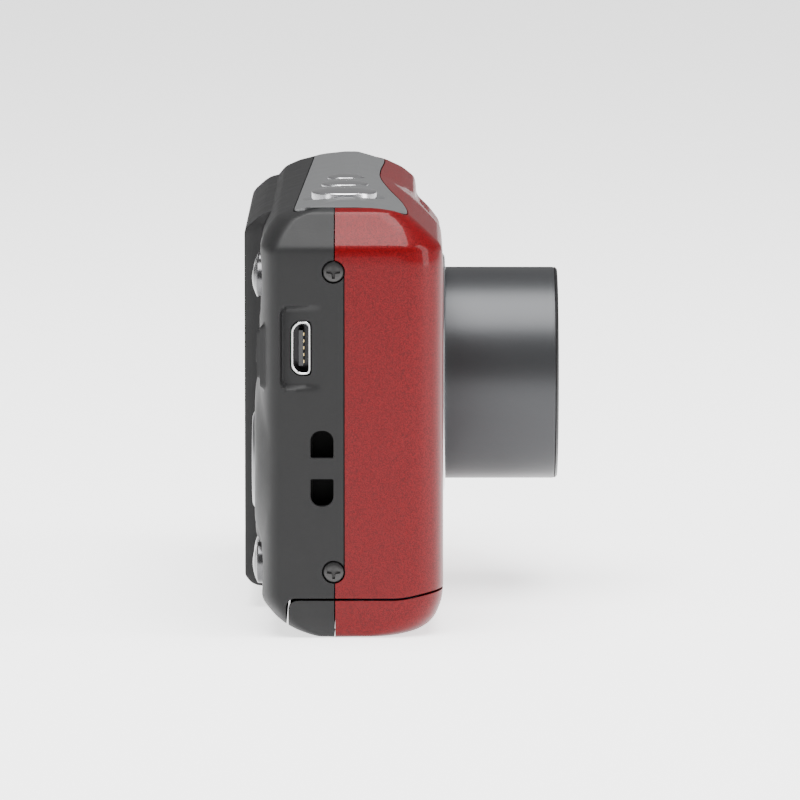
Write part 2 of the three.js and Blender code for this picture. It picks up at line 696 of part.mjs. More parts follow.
const pins = PINS.map((angle) => {
  return disc('y', PIN_R, BARREL_R - 0.6, housingOuter - 0.3, [0, 0, 0], 10)
    .rotate([90, 0, 0])
    .rotate([0, -THREE.MathUtils.radToDeg(angle) + 90, 0])
    .translate([0, pinY, 0]);
});
const barrelBody = joined(
  tube('y', innerR, BARREL_R, BARREL_FRONT_Y + RING_T + 0.2, BARREL_REAR_Y, [0, 0, 0], 36),
  ...PINS.map((angle) => spoke(angle, innerR, BARREL_R - 0.05, 1.6, BARREL_REAR_Y - 3, BARREL_REAR_Y)),
  ...pins,
);
piece('outer_barrel', barrelBody, MATERIAL.gunmetal(), lens);
piece('barrel_trim_ring', turned('y', [
  [innerR, BARREL_FRONT_Y + RING_T],
  [BARREL_R, BARREL_FRONT_Y + RING_T],
  [BARREL_R, BARREL_FRONT_Y + 0.2],
  [BARREL_R - 0.3, BARREL_FRONT_Y],
  [innerR, BARREL_FRONT_Y],
  [innerR, BARREL_FRONT_Y + RING_T],
], [0, 0, 0], 36), MATERIAL.black(), lens);

const innerFront = BARREL_FRONT_Y + 0.4;
const holderY = innerFront + 3.2;
const tailY = innerFront + INNER_LENGTH - 1.6;
piece('inner_barrel', joined(
  tube('y', tubeR, slideR, innerFront + 0.8, innerFront + INNER_LENGTH),
  tube('y', FRONT_LENS_R + GAP, tubeR + 0.3, holderY, holderY + 1.0),
  tube('y', SECOND_LENS_R + GAP, tubeR + 0.3, tailY, tailY + 1.0),
), MATERIAL.black(), lens);
const aperture = along('y', roundedRect(
  -apertureW / 2, apertureW / 2, -apertureH / 2, apertureH / 2, 1.2, 3,
), innerFront - 2, innerFront + 2);
const cap = disc('y', slideR, innerFront, innerFront + 0.6, [0, 0, 0], 32).subtract(aperture);
piece('lens_cap_plate', cap, MATERIAL.black(), lens);
for (const [name, side] of [['barrier_blade_upper', 1], ['barrier_blade_lower', -1]]) {
  const shut = side > 0 ? [0.15, apertureH / 2 + 0.6] : [-apertureH / 2 - 0.6, -0.15];
  const plate = along('y', roundedRect(-apertureW / 2 - 0.6, apertureW / 2 + 0.6, ...shut, 0.5, 2),
    innerFront + 1.0, innerFront + 1.0 + BLADE_T);
  piece(name, plate, MATERIAL.gunmetal(), lens, [0, 0, side * bladeTravel]);
}

// A thick-edged lens: two spherical faces joined by a ground rim.
function lensElement(radius, y, rim, bulgeFront, bulgeBack) {
  const profile = [];
  const faceSteps = 3;
  for (let i = 0; i <= faceSteps; i += 1) {
    const r = (radius * i) / faceSteps;
    profile.push([r, y - bulgeFront * (1 - (r / radius) ** 2)]);
  }
  for (let i = faceSteps; i >= 0; i -= 1) {
    const r = (radius * i) / faceSteps;
    profile.push([r, y + rim + bulgeBack * (1 - (r / radius) ** 2)]);
  }
  return turned('y', profile, [0, 0, 0], 20);
}
piece('front_lens', lensElement(FRONT_LENS_R, holderY - 0.1, 1.2, 1.4, 0.6), MATERIAL.glass(), lens);
piece('second_lens', lensElement(SECOND_LENS_R, tailY - 0.1, 1.1, 0.7, 0.7), MATERIAL.glass(), lens);
const focusY = 0.8;
piece('focus_carrier', joined(
  tube('y', FOCUS_LENS_R + GAP, 6.4, focusY, focusY + 1.6),
  box(-9.6, -5.6, focusY, focusY + 1.6, -1.4, 1.4),
).subtract(disc('y', 0.9, -9, 9, [-8.2, 0, 0], 12)), MATERIAL.black(), lens);
piece('focus_lens', lensElement(FOCUS_LENS_R, focusY + 0.2, 1.0, 0.5, 0.4), MATERIAL.glass(), lens);
const basePlateY = LENS_REAR_Y + GAP;
const basePlate = cut(
  disc('y', housingOuter + 0.4, basePlateY, basePlateY + 0.8, [0, 0, 0], 32),
  box(-4.2, 4.2, -9, 9, -3.3, 3.3),
).add(disc('y', 0.6, focusY - 1.9, basePlateY + 0.1, [-8.2, 0, 0], 12));
piece('lens_base_plate', basePlate, MATERIAL.steel(), lens);
const sensorY = basePlateY + 0.8 + GAP;
piece('image_sensor', box(-5.4, 5.4, sensorY, sensorY + 0.7, -4.6, 4.6), MATERIAL.glass(), lens);
const sensorBoardY = sensorY + 0.7 + 0.15;
piece('sensor_board', box(-11, 11, sensorBoardY, sensorBoardY + 0.6, -8, 8), MATERIAL.board(), lens);

// ---------------------------------------------------------------- display
piece('display_window', box(
  WINDOW.x0 + GAP, WINDOW.x1 - GAP, windowBack, windowFace, WINDOW.z0 + GAP, WINDOW.z1 - GAP,
), MATERIAL.glass());
piece('display_module', box(
  DISPLAY_X0 + WALL + GAP, DISPLAY_X1 - WALL - GAP, moduleBack - MODULE_T, moduleBack - GAP,
  BLOCK_Z0 + WALL + GAP, BLOCK_Z1 - WALL - GAP,
), MATERIAL.steel());

// ---------------------------------------------------------------- keys
// A domed cap with a wider flange that the cover holds in.
function domedKey(axis, radius, proud, depth, lip) {
  const profile = [
    [0, -depth - KEY_FLANGE],
    [radius + lip, -depth - KEY_FLANGE],
    [radius + lip, -depth],
    [radius, -depth],
    [radius, proud * 0.3],
    [radius * 0.8, proud * 0.8],
    [0, proud],
  ];
  return turned(axis, profile, [0, 0, 0], 18);
}
const crownFace = HEIGHT - 0.15;
for (const { name, x, radius, proud } of TOP_KEYS) {
  const key = domedKey('z', radius, proud, WALL + 0.55, KEY_LIP);
  piece(name, key, MATERIAL.chrome(), camera, [x, TOP_KEY_Y, crownFace]);
}
const topBoardZ = crownFace - WALL - 0.55 - KEY_FLANGE - 1.3;
piece('top_switch_board', box(
  TOP_KEYS[0].x - 4, TOP_KEYS[2].x + 5, TOP_KEY_Y - 3.4, TOP_KEY_Y + 3.4, topBoardZ - 0.7, topBoardZ,
), MATERIAL.board());
for (const { name, x, z, radius } of REAR_KEYS) {
  const key = domedKey('y', radius, REAR_KEY_PROUD, WALL + 0.35, REAR_KEY_LIP);
  piece(name, key, MATERIAL.chrome(), camera, [x, REAR_Y, z]);
}

const nav = new THREE.Group();
nav.position.set(NAV_X, REAR_Y, NAV_Z);
camera.add(nav);
piece('nav_ring', turned('y', [
  [NAV_HOLE_R, -WALL + 0.2],
  [NAV_R, -WALL + 0.2],
  [NAV_R, NAV_PROUD * 0.45],
  [NAV_R - 0.9, NAV_PROUD * 0.9],
  [NAV_R - 2.4, NAV_PROUD],
  [NAV_HOLE_R, NAV_PROUD * 0.6],
  [NAV_HOLE_R, -WALL + 0.2],
], [0, 0, 0], 32), MATERIAL.gunmetal(), nav);
const carrierY = -WALL - 0.35;
piece('nav_carrier', tube('y', NAV_HOLE_R, NAV_R - 0.2, carrierY - 0.5, carrierY), MATERIAL.black(), nav);
piece('ok_button', turned('y', [
  [0, carrierY - 0.6], [OK_R, carrierY - 0.6], [OK_R, 0.2], [OK_R * 0.8, 0.6], [OK_R * 0.4, 0.75], [0, 0.8],
], [0, 0, 0], 24), MATERIAL.chrome(), nav);

// ---------------------------------------------------------------- boards, card and connector
const boardX0 = -HALF_LENGTH + WALL + 2.6;
const boardX1 = DISPLAY_X0 + 2.4;
const keyBoard = box(boardX0, boardX1 - 0.6, KEY_BOARD_Y, KEY_BOARD_Y + KEY_BOARD_T, 7.5, HEIGHT - 7);
piece('key_board', keyBoard, MATERIAL.brass());
piece('main_board', joined(
  box(boardX0, boardX1, BOARD_Y, BOARD_Y + BOARD_T, 8.5, HEIGHT - 7.5),
  box(-36, -26, BOARD_Y - 1.2, BOARD_Y + 0.1, 37, 47),
  box(-23, -18, BOARD_Y - 0.9, BOARD_Y + 0.1, 38, 44),
), MATERIAL.board());

const usbFaceX = -HALF_LENGTH + 0.4;
function usbOutline(shrink) {
  const y0 = USB_Y - USB_W / 2 + shrink;
  const y1 = USB_Y + USB_W / 2 - shrink;
  const z0 = USB_Z - USB_H / 2 + shrink;
  const z1 = USB_Z + USB_H / 2 - shrink;
  const bevel = 0.9;
  return [[y0, z0], [y1 - bevel, z0], [y1, z0 + bevel], [y1, z1 - bevel], [y1 - bevel, z1], [y0, z1]];
}
const socket = along('x', usbOutline(0), usbFaceX, usbFaceX + USB_DEPTH)
  .subtract(along('x', usbOutline(USB_SHELL), usbFaceX - 1, usbFaceX + USB_DEPTH - 0.4));
piece('usb_socket', socket, MATERIAL.steel());
piece('usb_tongue', box(
  usbFaceX + 0.6, usbFaceX + USB_DEPTH - 0.4 - 0.1, USB_Y - 0.35, USB_Y + 0.35, USB_Z - 2.5, USB_Z + 2.5,
), MATERIAL.black());

const slotX0 = CARD_X - CARD_W / 2;
const slotX1 = CARD_X + CARD_W / 2;
const slotTop = CARD_Z + CARD_L;
const cardY0 = CARD_Y - CARD_T / 2;
const cardY1 = CARD_Y + CARD_T / 2;
piece('card_slot', cut(
  box(slotX0 - 0.9, slotX1 + 0.9, cardY0 - 0.4, cardY1 + 0.4, CARD_Z + 2.6, slotTop + 1.2),
  box(slotX0 - GAP, slotX1 + GAP, cardY0 - 0.1, cardY1 + 0.1, CARD_Z, slotTop + GAP),
), MATERIAL.steel());
const cardPlan = [
  [slotX0, CARD_Z], [slotX1, CARD_Z], [slotX1, slotTop - 3.5], [slotX1 - 3.5, slotTop], [slotX0, slotTop],
];
piece('memory_card', along('y', cardPlan, cardY0 + 0.2, cardY1 - 0.2), MATERIAL.black());

// ---------------------------------------------------------------- cells and their case
const caseX0 = -HALF_LENGTH + WALL + 0.35;
const caseX1 = CELL_X[1] + CELL_R + CELL_CLEAR + CASE_WALL;
const caseY0 = FRONT_Y + WALL + 0.3;
const caseY1 = CARD_Y - CARD_T / 2 - 0.4 - 0.4;
const caseZ0 = DOOR_FRONT_Z + 0.8;
const caseZ1 = SCREW_TOP_Z + 0.6;
const bores = CELL_X.map((x) => disc('z', CELL_R + CELL_CLEAR, -2, HEIGHT, [x, CELL_Y, 0], 32));
const eyeletNotch = box(caseX0 - 1, caseX0 + 3.4, 0.2, caseY1 + 1, EYELET_Z - 7.2, EYELET_Z + 7.2);
const gripScrewBores = screwPlaces.filter(({ end }) => end < 0).map(({ z }) => {
  return disc('x', SCREW_SHANK_R + 0.15, caseX0 - 1, caseX0 + 3.2, [0, SCREW_Y, z], 12);
});
const batteryCase = cut(
  along('z', roundedRect(caseX0, caseX1, caseY0, caseY1, 1.0, 2), caseZ0, caseZ1)
    .intersect(skin(WALL + 0.25)),
  ...bores, eyeletNotch, ...gripScrewBores,
);
piece('battery_case', batteryCase, MATERIAL.black());
CELL_X.forEach((x, i) => {
  const up = i === 0 ? 1 : -1;
  const half = CELL_LENGTH / 2;
  const cell = turned('z', [
    [0, -up * half],
    [CELL_R - 0.5, -up * half],
    [CELL_R, -up * (half - 0.5)],
    [CELL_R, up * (half - 2.0)],
    [CELL_R - 1.0, up * (half - 1.2)],
    [2.7, up * (half - 1.2)],
    [2.7, up * half],
    [0, up * half],
  ], [x, CELL_Y, CELL_Z + half], 20);
  piece(`battery_${i + 1}`, cell, MATERIAL.cell());
});
const contactZ = CELL_Z + CELL_LENGTH + GAP;
piece('top_contact_board', box(
  CELL_X[0] - 4.8, CELL_X[1] + 4.8, CELL_Y - 4.8, CELL_Y + 4.8, contactZ, contactZ + 0.6,
), MATERIAL.brass());
const bridge = box(CELL_X[0] - 2.6, CELL_X[1] + 2.6, CELL_Y - 2.4, CELL_Y + 2.4, WALL + GAP, CELL_Z - GAP);
piece('door_contact_strip', bridge, MATERIAL.brass());

// ---------------------------------------------------------------- strap pocket, tripod bush, frame
const pocketX0 = -HALF_LENGTH + WALL + 0.15;
const pocketZ = EYELET_BAR / 2 + EYELET_HOLE + 0.6;
piece('strap_pocket', cut(
  box(pocketX0, pocketX0 + 2.4, EYELET_Y - 2.0, EYELET_Y + 1.7, EYELET_Z - pocketZ, EYELET_Z + pocketZ),
  box(
    pocketX0 - 1, pocketX0 + 1.9, EYELET_Y - 1.6, EYELET_Y + 1.35,
    EYELET_Z - pocketZ + 0.5, EYELET_Z + pocketZ - 0.5,
  ),
), MATERIAL.black());
piece('tripod_bush', turned('z', [
  [BUSH_BORE_R, 0], [BUSH_R, 0], [BUSH_R, WALL + 0.9], [BUSH_R + 1.8, WALL + 0.9], [BUSH_R + 1.8, WALL + 2.0],
  [BUSH_R, WALL + 2.0], [BUSH_R, BUSH_H], [BUSH_BORE_R, BUSH_H], [BUSH_BORE_R, 0],
], [BUSH_X, BUSH_Y, 0], 20), MATERIAL.steel());
const frameX1 = HALF_LENGTH - WALL - 0.4;
const frameX0 = LENS_X + housingOuter + 1.4;
const farScrewBores = screwPlaces.filter(({ end }) => end > 0).map(({ z }) => {
  return disc('x', SCREW_SHANK_R + 0.15, frameX1 - 3.4, frameX1 + 1, [0, SCREW_Y, z], 12);
});
const frameY0 = 0.2;
const frameY1 = 6.0;
piece('inner_frame', cut(
  joined(
    box(frameX0, frameX1, frameY1 - 1.2, frameY1, 6, HEIGHT - 7),
    box(frameX1 - 4, frameX1, frameY0 - 0.6, frameY1 - 0.5, SCREW_LOW_Z - 2.6, SCREW_LOW_Z + 2.6),
    box(frameX1 - 4, frameX1, frameY0 - 0.6, frameY1 - 0.5, SCREW_TOP_Z - 2.6, SCREW_TOP_Z + 2.2),
  ),
  ...farScrewBores,
), MATERIAL.steel());

// ---------------------------------------------------------------- flash and lamp
piece('flash_window', box(
  FLASH_X - FLASH_W / 2, FLASH_X + FLASH_W / 2, FRONT_Y - 0.1, FRONT_Y + 1.1,
  FLASH_Z - FLASH_H / 2, FLASH_Z + FLASH_H / 2,
), MATERIAL.chrome());
const reflectorY = FRONT_Y + WALL + 0.4;
const flashWide = FLASH_W / 2 - 0.6;
const flashTall = FLASH_H / 2 - 0.4;
const bowl = [
  [reflectorY, FLASH_Z - flashTall], [reflectorY + 4.0, FLASH_Z - 1.9], [reflectorY + 5.0, FLASH_Z],
  [reflectorY + 4.0, FLASH_Z + 1.9], [reflectorY, FLASH_Z + flashTall],
];
const bowlOuter = [
  [reflectorY, FLASH_Z - flashTall - 0.4], [reflectorY + 4.4, FLASH_Z - 2.2], [reflectorY + 5.4, FLASH_Z],
  [reflectorY + 4.4, FLASH_Z + 2.2], [reflectorY, FLASH_Z + flashTall + 0.4],
];
piece('flash_reflector', cut(
  along('x', bowlOuter, FLASH_X - flashWide - 0.4, FLASH_X + flashWide + 0.4),
  along('x', bowl.map(([y, z]) => [y - 0.01, z]), FLASH_X - flashWide, FLASH_X + flashWide),
), MATERIAL.chrome());
piece('flash_tube', disc('x', 1.0, -flashWide + 0.4, flashWide - 0.4, [FLASH_X, reflectorY + 3.0, FLASH_Z], 12),
  MATERIAL.glass());
piece('flash_capacitor', joined(
  disc('z', 4.0, 14, 33.5, [frameX1 - 8.4, -4.6, 0], 24),
  disc('z', 3.4, 33.4, 34.4, [frameX1 - 8.4, -4.6, 0], 24),
), MATERIAL.black());
const lampWindow = disc('y', LAMP_R, FRONT_Y - 0.05, FRONT_Y + WALL, [LAMP_X, 0, LAMP_Z], 16);
piece('focus_lamp_window', lampWindow, MATERIAL.glass());

export default camera;
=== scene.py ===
"""Looks of a compact digital camera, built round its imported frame. Metres, +Z up, lens towards -Y."""
import json
import math

import bmesh
import bpy
import numpy as np
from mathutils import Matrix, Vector


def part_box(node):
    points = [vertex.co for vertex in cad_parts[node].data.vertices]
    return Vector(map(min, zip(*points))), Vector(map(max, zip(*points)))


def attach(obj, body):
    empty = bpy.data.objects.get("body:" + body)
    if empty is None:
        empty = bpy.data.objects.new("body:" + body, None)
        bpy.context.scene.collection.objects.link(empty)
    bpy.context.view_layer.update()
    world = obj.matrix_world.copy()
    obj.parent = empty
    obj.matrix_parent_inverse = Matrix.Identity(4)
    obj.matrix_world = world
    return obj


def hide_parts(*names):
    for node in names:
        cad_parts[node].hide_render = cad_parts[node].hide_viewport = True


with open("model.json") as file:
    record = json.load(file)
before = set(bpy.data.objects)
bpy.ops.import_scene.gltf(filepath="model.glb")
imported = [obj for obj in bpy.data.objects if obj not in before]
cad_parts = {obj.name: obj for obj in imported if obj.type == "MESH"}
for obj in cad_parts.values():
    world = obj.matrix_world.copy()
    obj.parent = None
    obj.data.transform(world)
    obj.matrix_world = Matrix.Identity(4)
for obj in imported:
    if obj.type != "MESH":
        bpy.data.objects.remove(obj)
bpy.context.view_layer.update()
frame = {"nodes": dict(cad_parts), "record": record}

# ------------------------------------------------------------------ viewpoint
# The eye stands off the grip end, a little above the body, and looks along it through a long lens,
# so that the barrel, the seam and both covers are seen nearly square on.
MM = 0.001
shell_low, shell_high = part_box("front_cover")
GRIP_X = shell_low.x
VIEW_BACK = 1.0
VIEW_SIDE = -8.15 * MM
VIEW_HEIGHT = 153 * MM
VIEW_DROP = math.radians(6.82)
VIEW_LENS = 327.2
eye = bpy.data.objects.new("viewpoint", bpy.data.cameras.new("viewpoint"))
bpy.context.collection.objects.link(eye)
eye.location = (GRIP_X - VIEW_BACK, VIEW_SIDE, VIEW_HEIGHT)
eye.rotation_euler = (math.pi / 2 - VIEW_DROP, 0, -math.pi / 2)
eye.data.sensor_width = 36
eye.data.lens = VIEW_LENS
eye.data.clip_start = 0.05
eye.data.clip_end = 20
bpy.context.scene.camera = eye


# ------------------------------------------------------------------ front cover
# Painted front shell: a moulded cover sprayed with metallic flake red under a clear coat. It is
# screwed to the rear cover through both ends, and the lens, flash and lamp look out through it.
def new_material(name, color, roughness, metallic=0.0, **sockets):
    """A Principled material; returns it with its tree and shader node."""
    material = bpy.data.materials.new(name)
    material.use_nodes = True
    tree = material.node_tree
    shader = tree.nodes["Principled BSDF"]
    shader.inputs["Base Color"].default_value = (*color, 1)
    shader.inputs["Roughness"].default_value = roughness
    shader.inputs["Metallic"].default_value = metallic
    for key, value in sockets.items():
        shader.inputs[key.replace("_", " ")].default_value = value
    return material, tree, shader


def node(tree, kind, inputs=None, **settings):
    """Adds a shader node with its settings and input values."""
    made = tree.nodes.new(kind)
    for key, value in settings.items():
        setattr(made, key, value)
    for key, value in (inputs or {}).items():
        made.inputs[key].default_value = value
    return made


red_paint, tree, shader = new_material("flake_red_paint", (0.09, 0.0009, 0.0022), 0.38, 0.15,
                                       Specular_IOR_Level=0.08, Coat_Weight=0.2,
                                       Coat_Roughness=0.04)
place = node(tree, "ShaderNodeTexCoord")
flakes = node(tree, "ShaderNodeTexVoronoi", {"Scale": 9000.0})
tree.links.new(place.outputs["Object"], flakes.inputs["Vector"])
sparkle = node(tree, "ShaderNodeMapRange", {"To Min": 0.6, "To Max": 1.6})
split = node(tree, "ShaderNodeSeparateColor")
tree.links.new(flakes.outputs["Color"], split.inputs["Color"])
tree.links.new(split.outputs["Red"], sparkle.inputs["Value"])
tint = node(tree, "ShaderNodeMix", {"Factor": 1.0}, data_type="RGBA", blend_type="MULTIPLY")
tint.inputs["A"].default_value = (0.09, 0.0008, 0.0021, 1)
tree.links.new(sparkle.outputs["Result"], tint.inputs["B"])
tree.links.new(tint.outputs["Result"], shader.inputs["Base Color"])
tilt = node(tree, "ShaderNodeBump", {"Strength": 0.16, "Distance": 0.00002})
tree.links.new(split.outputs["Green"], tilt.inputs["Height"])
tree.links.new(tilt.outputs["Normal"], shader.inputs["Normal"])


def smooth(values, width):
    """Running mean of a column of values, repeated three times, with its ends held."""
    kernel = np.ones(width) / width
    for _ in range(3):
        padded = np.concatenate([[values[0]] * (width // 2), values, [values[-1]] * (width // 2)])
        values = np.convolve(padded, kernel, "valid")
    return values


# The skin is the outside of the moulded body: a rounded block whose ends, front and back lean in
# towards the base and the crown. Every cover below is a patch of it, so their edges meet.
FAR_X = shell_high.x
FRONT_Y = shell_low.y
BLOCK_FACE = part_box("rear_cover")[1].y
REAR_Y = BLOCK_FACE - 2.6 * MM
TOP_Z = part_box("top_plate")[1].z
BASE_RINGS = [
    # height, then how far the end, the front, the deck front and the back stand in (mm)
    (0.0, 1.7, 5.2, 5.2, 6.8), (0.25, 1.1, 4.0, 4.0, 5.7), (0.7, 0.7, 2.95, 2.95, 4.6),
    (1.5, 0.35, 1.85, 1.85, 3.2), (2.6, 0.15, 1.0, 1.0, 1.9), (4.4, 0.03, 0.3, 0.3, 0.45),
    (5.4, 0.0, 0.1, 0.1, 0.05), (7.0, 0.0, 0.0, 0.0, 0.0),
]
CROWN_RINGS = [
    # the same, by depth under the crown
    (11.2, 0.0, 0.05, 0.0, 0.0), (10.2, 0.0, 0.2, 0.0, 0.0), (8.1, 0.0, 1.8, 0.05, 0.0),
    (6.6, 0.05, 3.4, 0.2, 0.0), (6.1, 0.1, 3.6, 0.35, 0.1), (5.0, 0.85, 3.65, 1.35, 0.5),
    (3.7, 1.75, 3.9, 2.7, 1.2), (2.2, 2.75, 5.7, 4.4, 2.4), (1.3, 3.35, 7.8, 5.7, 4.5),
    (0.6, 5.2, 10.0, 8.6, 7.2), (0.0, 8.0, 12.3, 12.3, 11.5),
]
rings = np.array(BASE_RINGS + [(TOP_Z / MM - d, *rest) for d, *rest in CROWN_RINGS]) * MM
ring_length = np.concatenate([[0], np.cumsum(np.hypot(np.diff(rings[:, 0]), np.diff(rings[:, 3])))])
RING_SAMPLES = 801
RING_BLEND = 7
fine = np.linspace(0, ring_length[-1], RING_SAMPLES)
profile = np.stack([smooth(np.interp(fine, ring_length, rings[:, k]), RING_BLEND) for k in range(5)])
profile_v = np.linspace(0, 1, RING_SAMPLES)
FRONT_CORNER = 6.5 * MM
CORNER_SHARE = 0.42
CROWN_TIGHTENS = 0.35
DECK_EDGE = 13.0 * MM
FAR_TIGHT = 0.38
FRONT_LEGS = (0.0, 0.14, 0.25, 0.75, 0.86, 1.0)


def ring_at(v):
    """Height and the four insets of the skin at v, from 0 at the base to 1 at the crown."""
    return [np.interp(v, profile_v, row) for row in profile]


def ease(x):
    """Cubic step from 0 to 1."""
    x = np.clip(x, 0, 1)
    return x * x * (3 - 2 * x)


def far_inset(z, end):
    """How far the far end stands in at each height: less than the grip end, close to the crown."""
    return end * (1 - FAR_TIGHT * ease((z - (TOP_Z - 3 * MM)) / (2 * MM)))


def along_legs(s, legs):
    """How far s has gone along each leg of a line, from 0 to 1, with one array for each leg."""
    return [np.clip((s - a) / (b - a), 0, 1) for a, b in zip(legs[:-1], legs[1:])]


def by_leg(s, legs, choices):
    """Picks, for each s, the choice that belongs to its leg."""
    return np.select([s < end for end in legs[1:-1]], choices[:-1], choices[-1])


def spread(legs, counts):
    """Values of s from 0 to 1, evenly spaced on each leg, with a count of its own for each."""
    parts = [np.linspace(a, b, n, endpoint=False) for a, b, n in zip(legs[:-1], legs[1:-1], counts)]
    return np.concatenate(parts + [np.linspace(legs[-2], legs[-1], counts[-1])])


def front_line(v, s, seam):
    """Points of the front half: s from 0 to 1 goes along the grip end, round its corner, along
    the front, round the far corner and back along the far end; v goes up. seam is the y where
    both ends of the line stop."""
    z, end, front, deck, rear = ring_at(v)
    half_grip = -GRIP_X - end
    half_far = FAR_X - far_inset(z, end)
    depth = REAR_Y - rear - (FRONT_Y + front)
    radius = np.minimum(FRONT_CORNER, depth * CORNER_SHARE)
    radius = radius * (1 - CROWN_TIGHTENS * ease((z - (TOP_Z - 7 * MM)) / (4 * MM)))
    y_grip = FRONT_Y + deck
    y_far = FRONT_Y + front
    t = along_legs(s, FRONT_LEGS)
    bend_a = t[1] * math.pi / 2
    bend_b = t[3] * math.pi / 2
    x_from = -half_grip + radius
    x_to = half_far - radius
    x_run = x_from + (x_to - x_from) * t[2]
    y_run = y_grip + (y_far - y_grip) * ease((x_run / DECK_EDGE + 1) / 2)
    x = by_leg(s, FRONT_LEGS, [-half_grip, x_from - radius * np.cos(bend_a), x_run,
                               x_to + radius * np.sin(bend_b), half_far])
    y = by_leg(s, FRONT_LEGS, [seam + (y_grip + radius - seam) * t[0],
                               y_grip + radius - radius * np.sin(bend_a), y_run,
                               y_far + radius - radius * np.cos(bend_b),
                               y_far + radius + (seam - y_far - radius) * t[4]])
    return x, y, z


# Outline of the top plate, seen from above: straight behind, a shallow S in front.
plate_low, plate_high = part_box("top_plate")
PLATE_FRONT = np.array([(-0.93, -9.1), (-0.78, -9.4), (-0.55, -8.2), (-0.3, -6.7), (-0.05, -5.7),
                        (0.19, -5.2), (0.44, -5.3), (0.74, -5.9), (0.92, -5.9)])
plate_x = np.linspace(-0.95, 0.95, 400)
PLATE_BLEND = 31
plate_y = smooth(np.interp(plate_x, PLATE_FRONT[:, 0], PLATE_FRONT[:, 1] * MM), PLATE_BLEND)


def plate_front(x):
    """y of the top plate's front edge at x."""
    return np.interp(x / FAR_X, plate_x, plate_y)


def plate_back(x):
    """y of the top plate's rear edge at x."""
    return np.interp(x, [-38.5 * MM, 38 * MM], [6.6 * MM, 4.75 * MM])


PLATE_GRIP = plate_low.x + 1.3 * MM
PLATE_FAR = plate_high.x + 0.15 * MM
PLATE_CORNER = 2.0 * MM


def inside_plate(x, y, grow):
    """Signed distance into the top plate's outline, grown by a margin; above 0 is inside."""
    dx = np.minimum(x - (PLATE_GRIP - grow), (PLATE_FAR + grow) - x)
    dy = np.minimum(y - (plate_front(x) - grow), (plate_back(x) + grow) - y)
    ax = np.maximum(PLATE_CORNER - dx, 0)
    ay = np.maximum(PLATE_CORNER - dy, 0)
    rounded = PLATE_CORNER - np.hypot(ax, ay)
    return np.where((ax > 0) & (ay > 0), rounded, np.minimum(dx, dy))


def climb(line, s, seam_of, grow, start=0.45):
    """The v at which each column of a half skin reaches the top plate's outline."""
    low = np.full(s.shape, start)
    high = np.ones(s.shape)
    for _ in range(34):
        mid = (low + high) / 2
        z = ring_at(mid)[0]
        x, y, z = line(mid, s, seam_of(z))
        reached = inside_plate(x, y, grow) > 0
        high = np.where(reached, mid, high)
        low = np.where(reached, low, mid)
    return (low + high) / 2


# The seam between the two covers steps back above and below the end screws.
screw_low, screw_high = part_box("side_screw_grip_low")
SCREW_Y = (screw_low.y + screw_high.y) / 2
SCREW_ZS = [(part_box(f"side_screw_grip_{k}")[0].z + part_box(f"side_screw_grip_{k}")[1].z) / 2
            for k in ("low", "top")]
SCREW_R = (screw_high.y - screw_low.y) / 2
SEAM_MID = -0.40 * MM
SEAM_END = 0.93 * MM
SEAM_GAP = 0.16 * MM
NOTCH_R = SCREW_R + 0.12 * MM


def seam_mid(z):
    """y of the seam at each height."""
    between = (z > SCREW_ZS[0]) & (z < SCREW_ZS[1])
    return np.where(between, SEAM_MID, SEAM_END)


def front_seam(z):
    """y where the front cover stops at each height."""
    return seam_mid(z) - SEAM_GAP / 2


def grid_mesh(name, x, y, z, close_u=False, flip=False):
    """A mesh of one quad per cell of the grids x, y, z (rows by columns); close_u joins the last
    column to the first, and flip turns the faces over."""
    rows, cols = x.shape
    index = np.arange(rows * cols).reshape(rows, cols)
    a = index[:-1, :-1]
    b = index[:-1, 1:]
    c = index[1:, 1:]
    d = index[1:, :-1]
    if close_u:
        wrap = np.roll(index, -1, axis=1)
        a = index[:-1]
        b = wrap[:-1]
        c = wrap[1:]
        d = index[1:]
    quads = np.stack([a, b, c, d], -1)
    if flip:
        quads = quads[..., ::-1]
    quads = quads.reshape(-1, 4)
    mesh = bpy.data.meshes.new(name)
    mesh.vertices.add(rows * cols)
    mesh.vertices.foreach_set("co", np.stack([x, y, z], -1).astype(np.float32).ravel())
    mesh.loops.add(quads.size)
    mesh.loops.foreach_set("vertex_index", quads.astype(np.int32).ravel())
    mesh.polygons.add(len(quads))
    mesh.polygons.foreach_set("loop_start", np.arange(0, quads.size, 4, dtype=np.int32))
    mesh.update()
    mesh.validate()
    return mesh


def add_piece(name, mesh, body, material, nodes=()):
    """Puts a mesh in the scene as a piece that rides on a body and stands for CAD nodes."""
    obj = bpy.data.objects.new(name, mesh)
    bpy.context.collection.objects.link(obj)
    mesh.materials.clear()
    mesh.materials.append(material)
    mesh.polygons.foreach_set("use_smooth", np.full(len(mesh.polygons), True))
    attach(obj, body)
    if nodes:
        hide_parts(*nodes)
    return obj


def tidy(mesh, merge=0.001 * MM):
    """Merges doubles and drops the loose points and flat faces that they leave."""
    bm = bmesh.new()
    bm.from_mesh(mesh)
    bmesh.ops.remove_doubles(bm, verts=bm.verts, dist=merge)
    bmesh.ops.dissolve_degenerate(bm, edges=bm.edges, dist=merge / 4)
    loose = [v for v in bm.verts if not v.link_faces]
    bmesh.ops.delete(bm, geom=loose, context="VERTS")
    bm.to_mesh(mesh)
    bm.free()


def thicken(obj, depth):
    """Gives an open patch its wall, inwards along its normals."""
    wall = obj.modifiers.new("wall", "SOLIDIFY")
    wall.thickness = depth
    wall.offset = -1
    wall.use_even_offset = False
    wall.use_quality_normals = True
    bpy.context.view_layer.objects.active = obj
    bpy.ops.object.modifier_apply(modifier="wall")


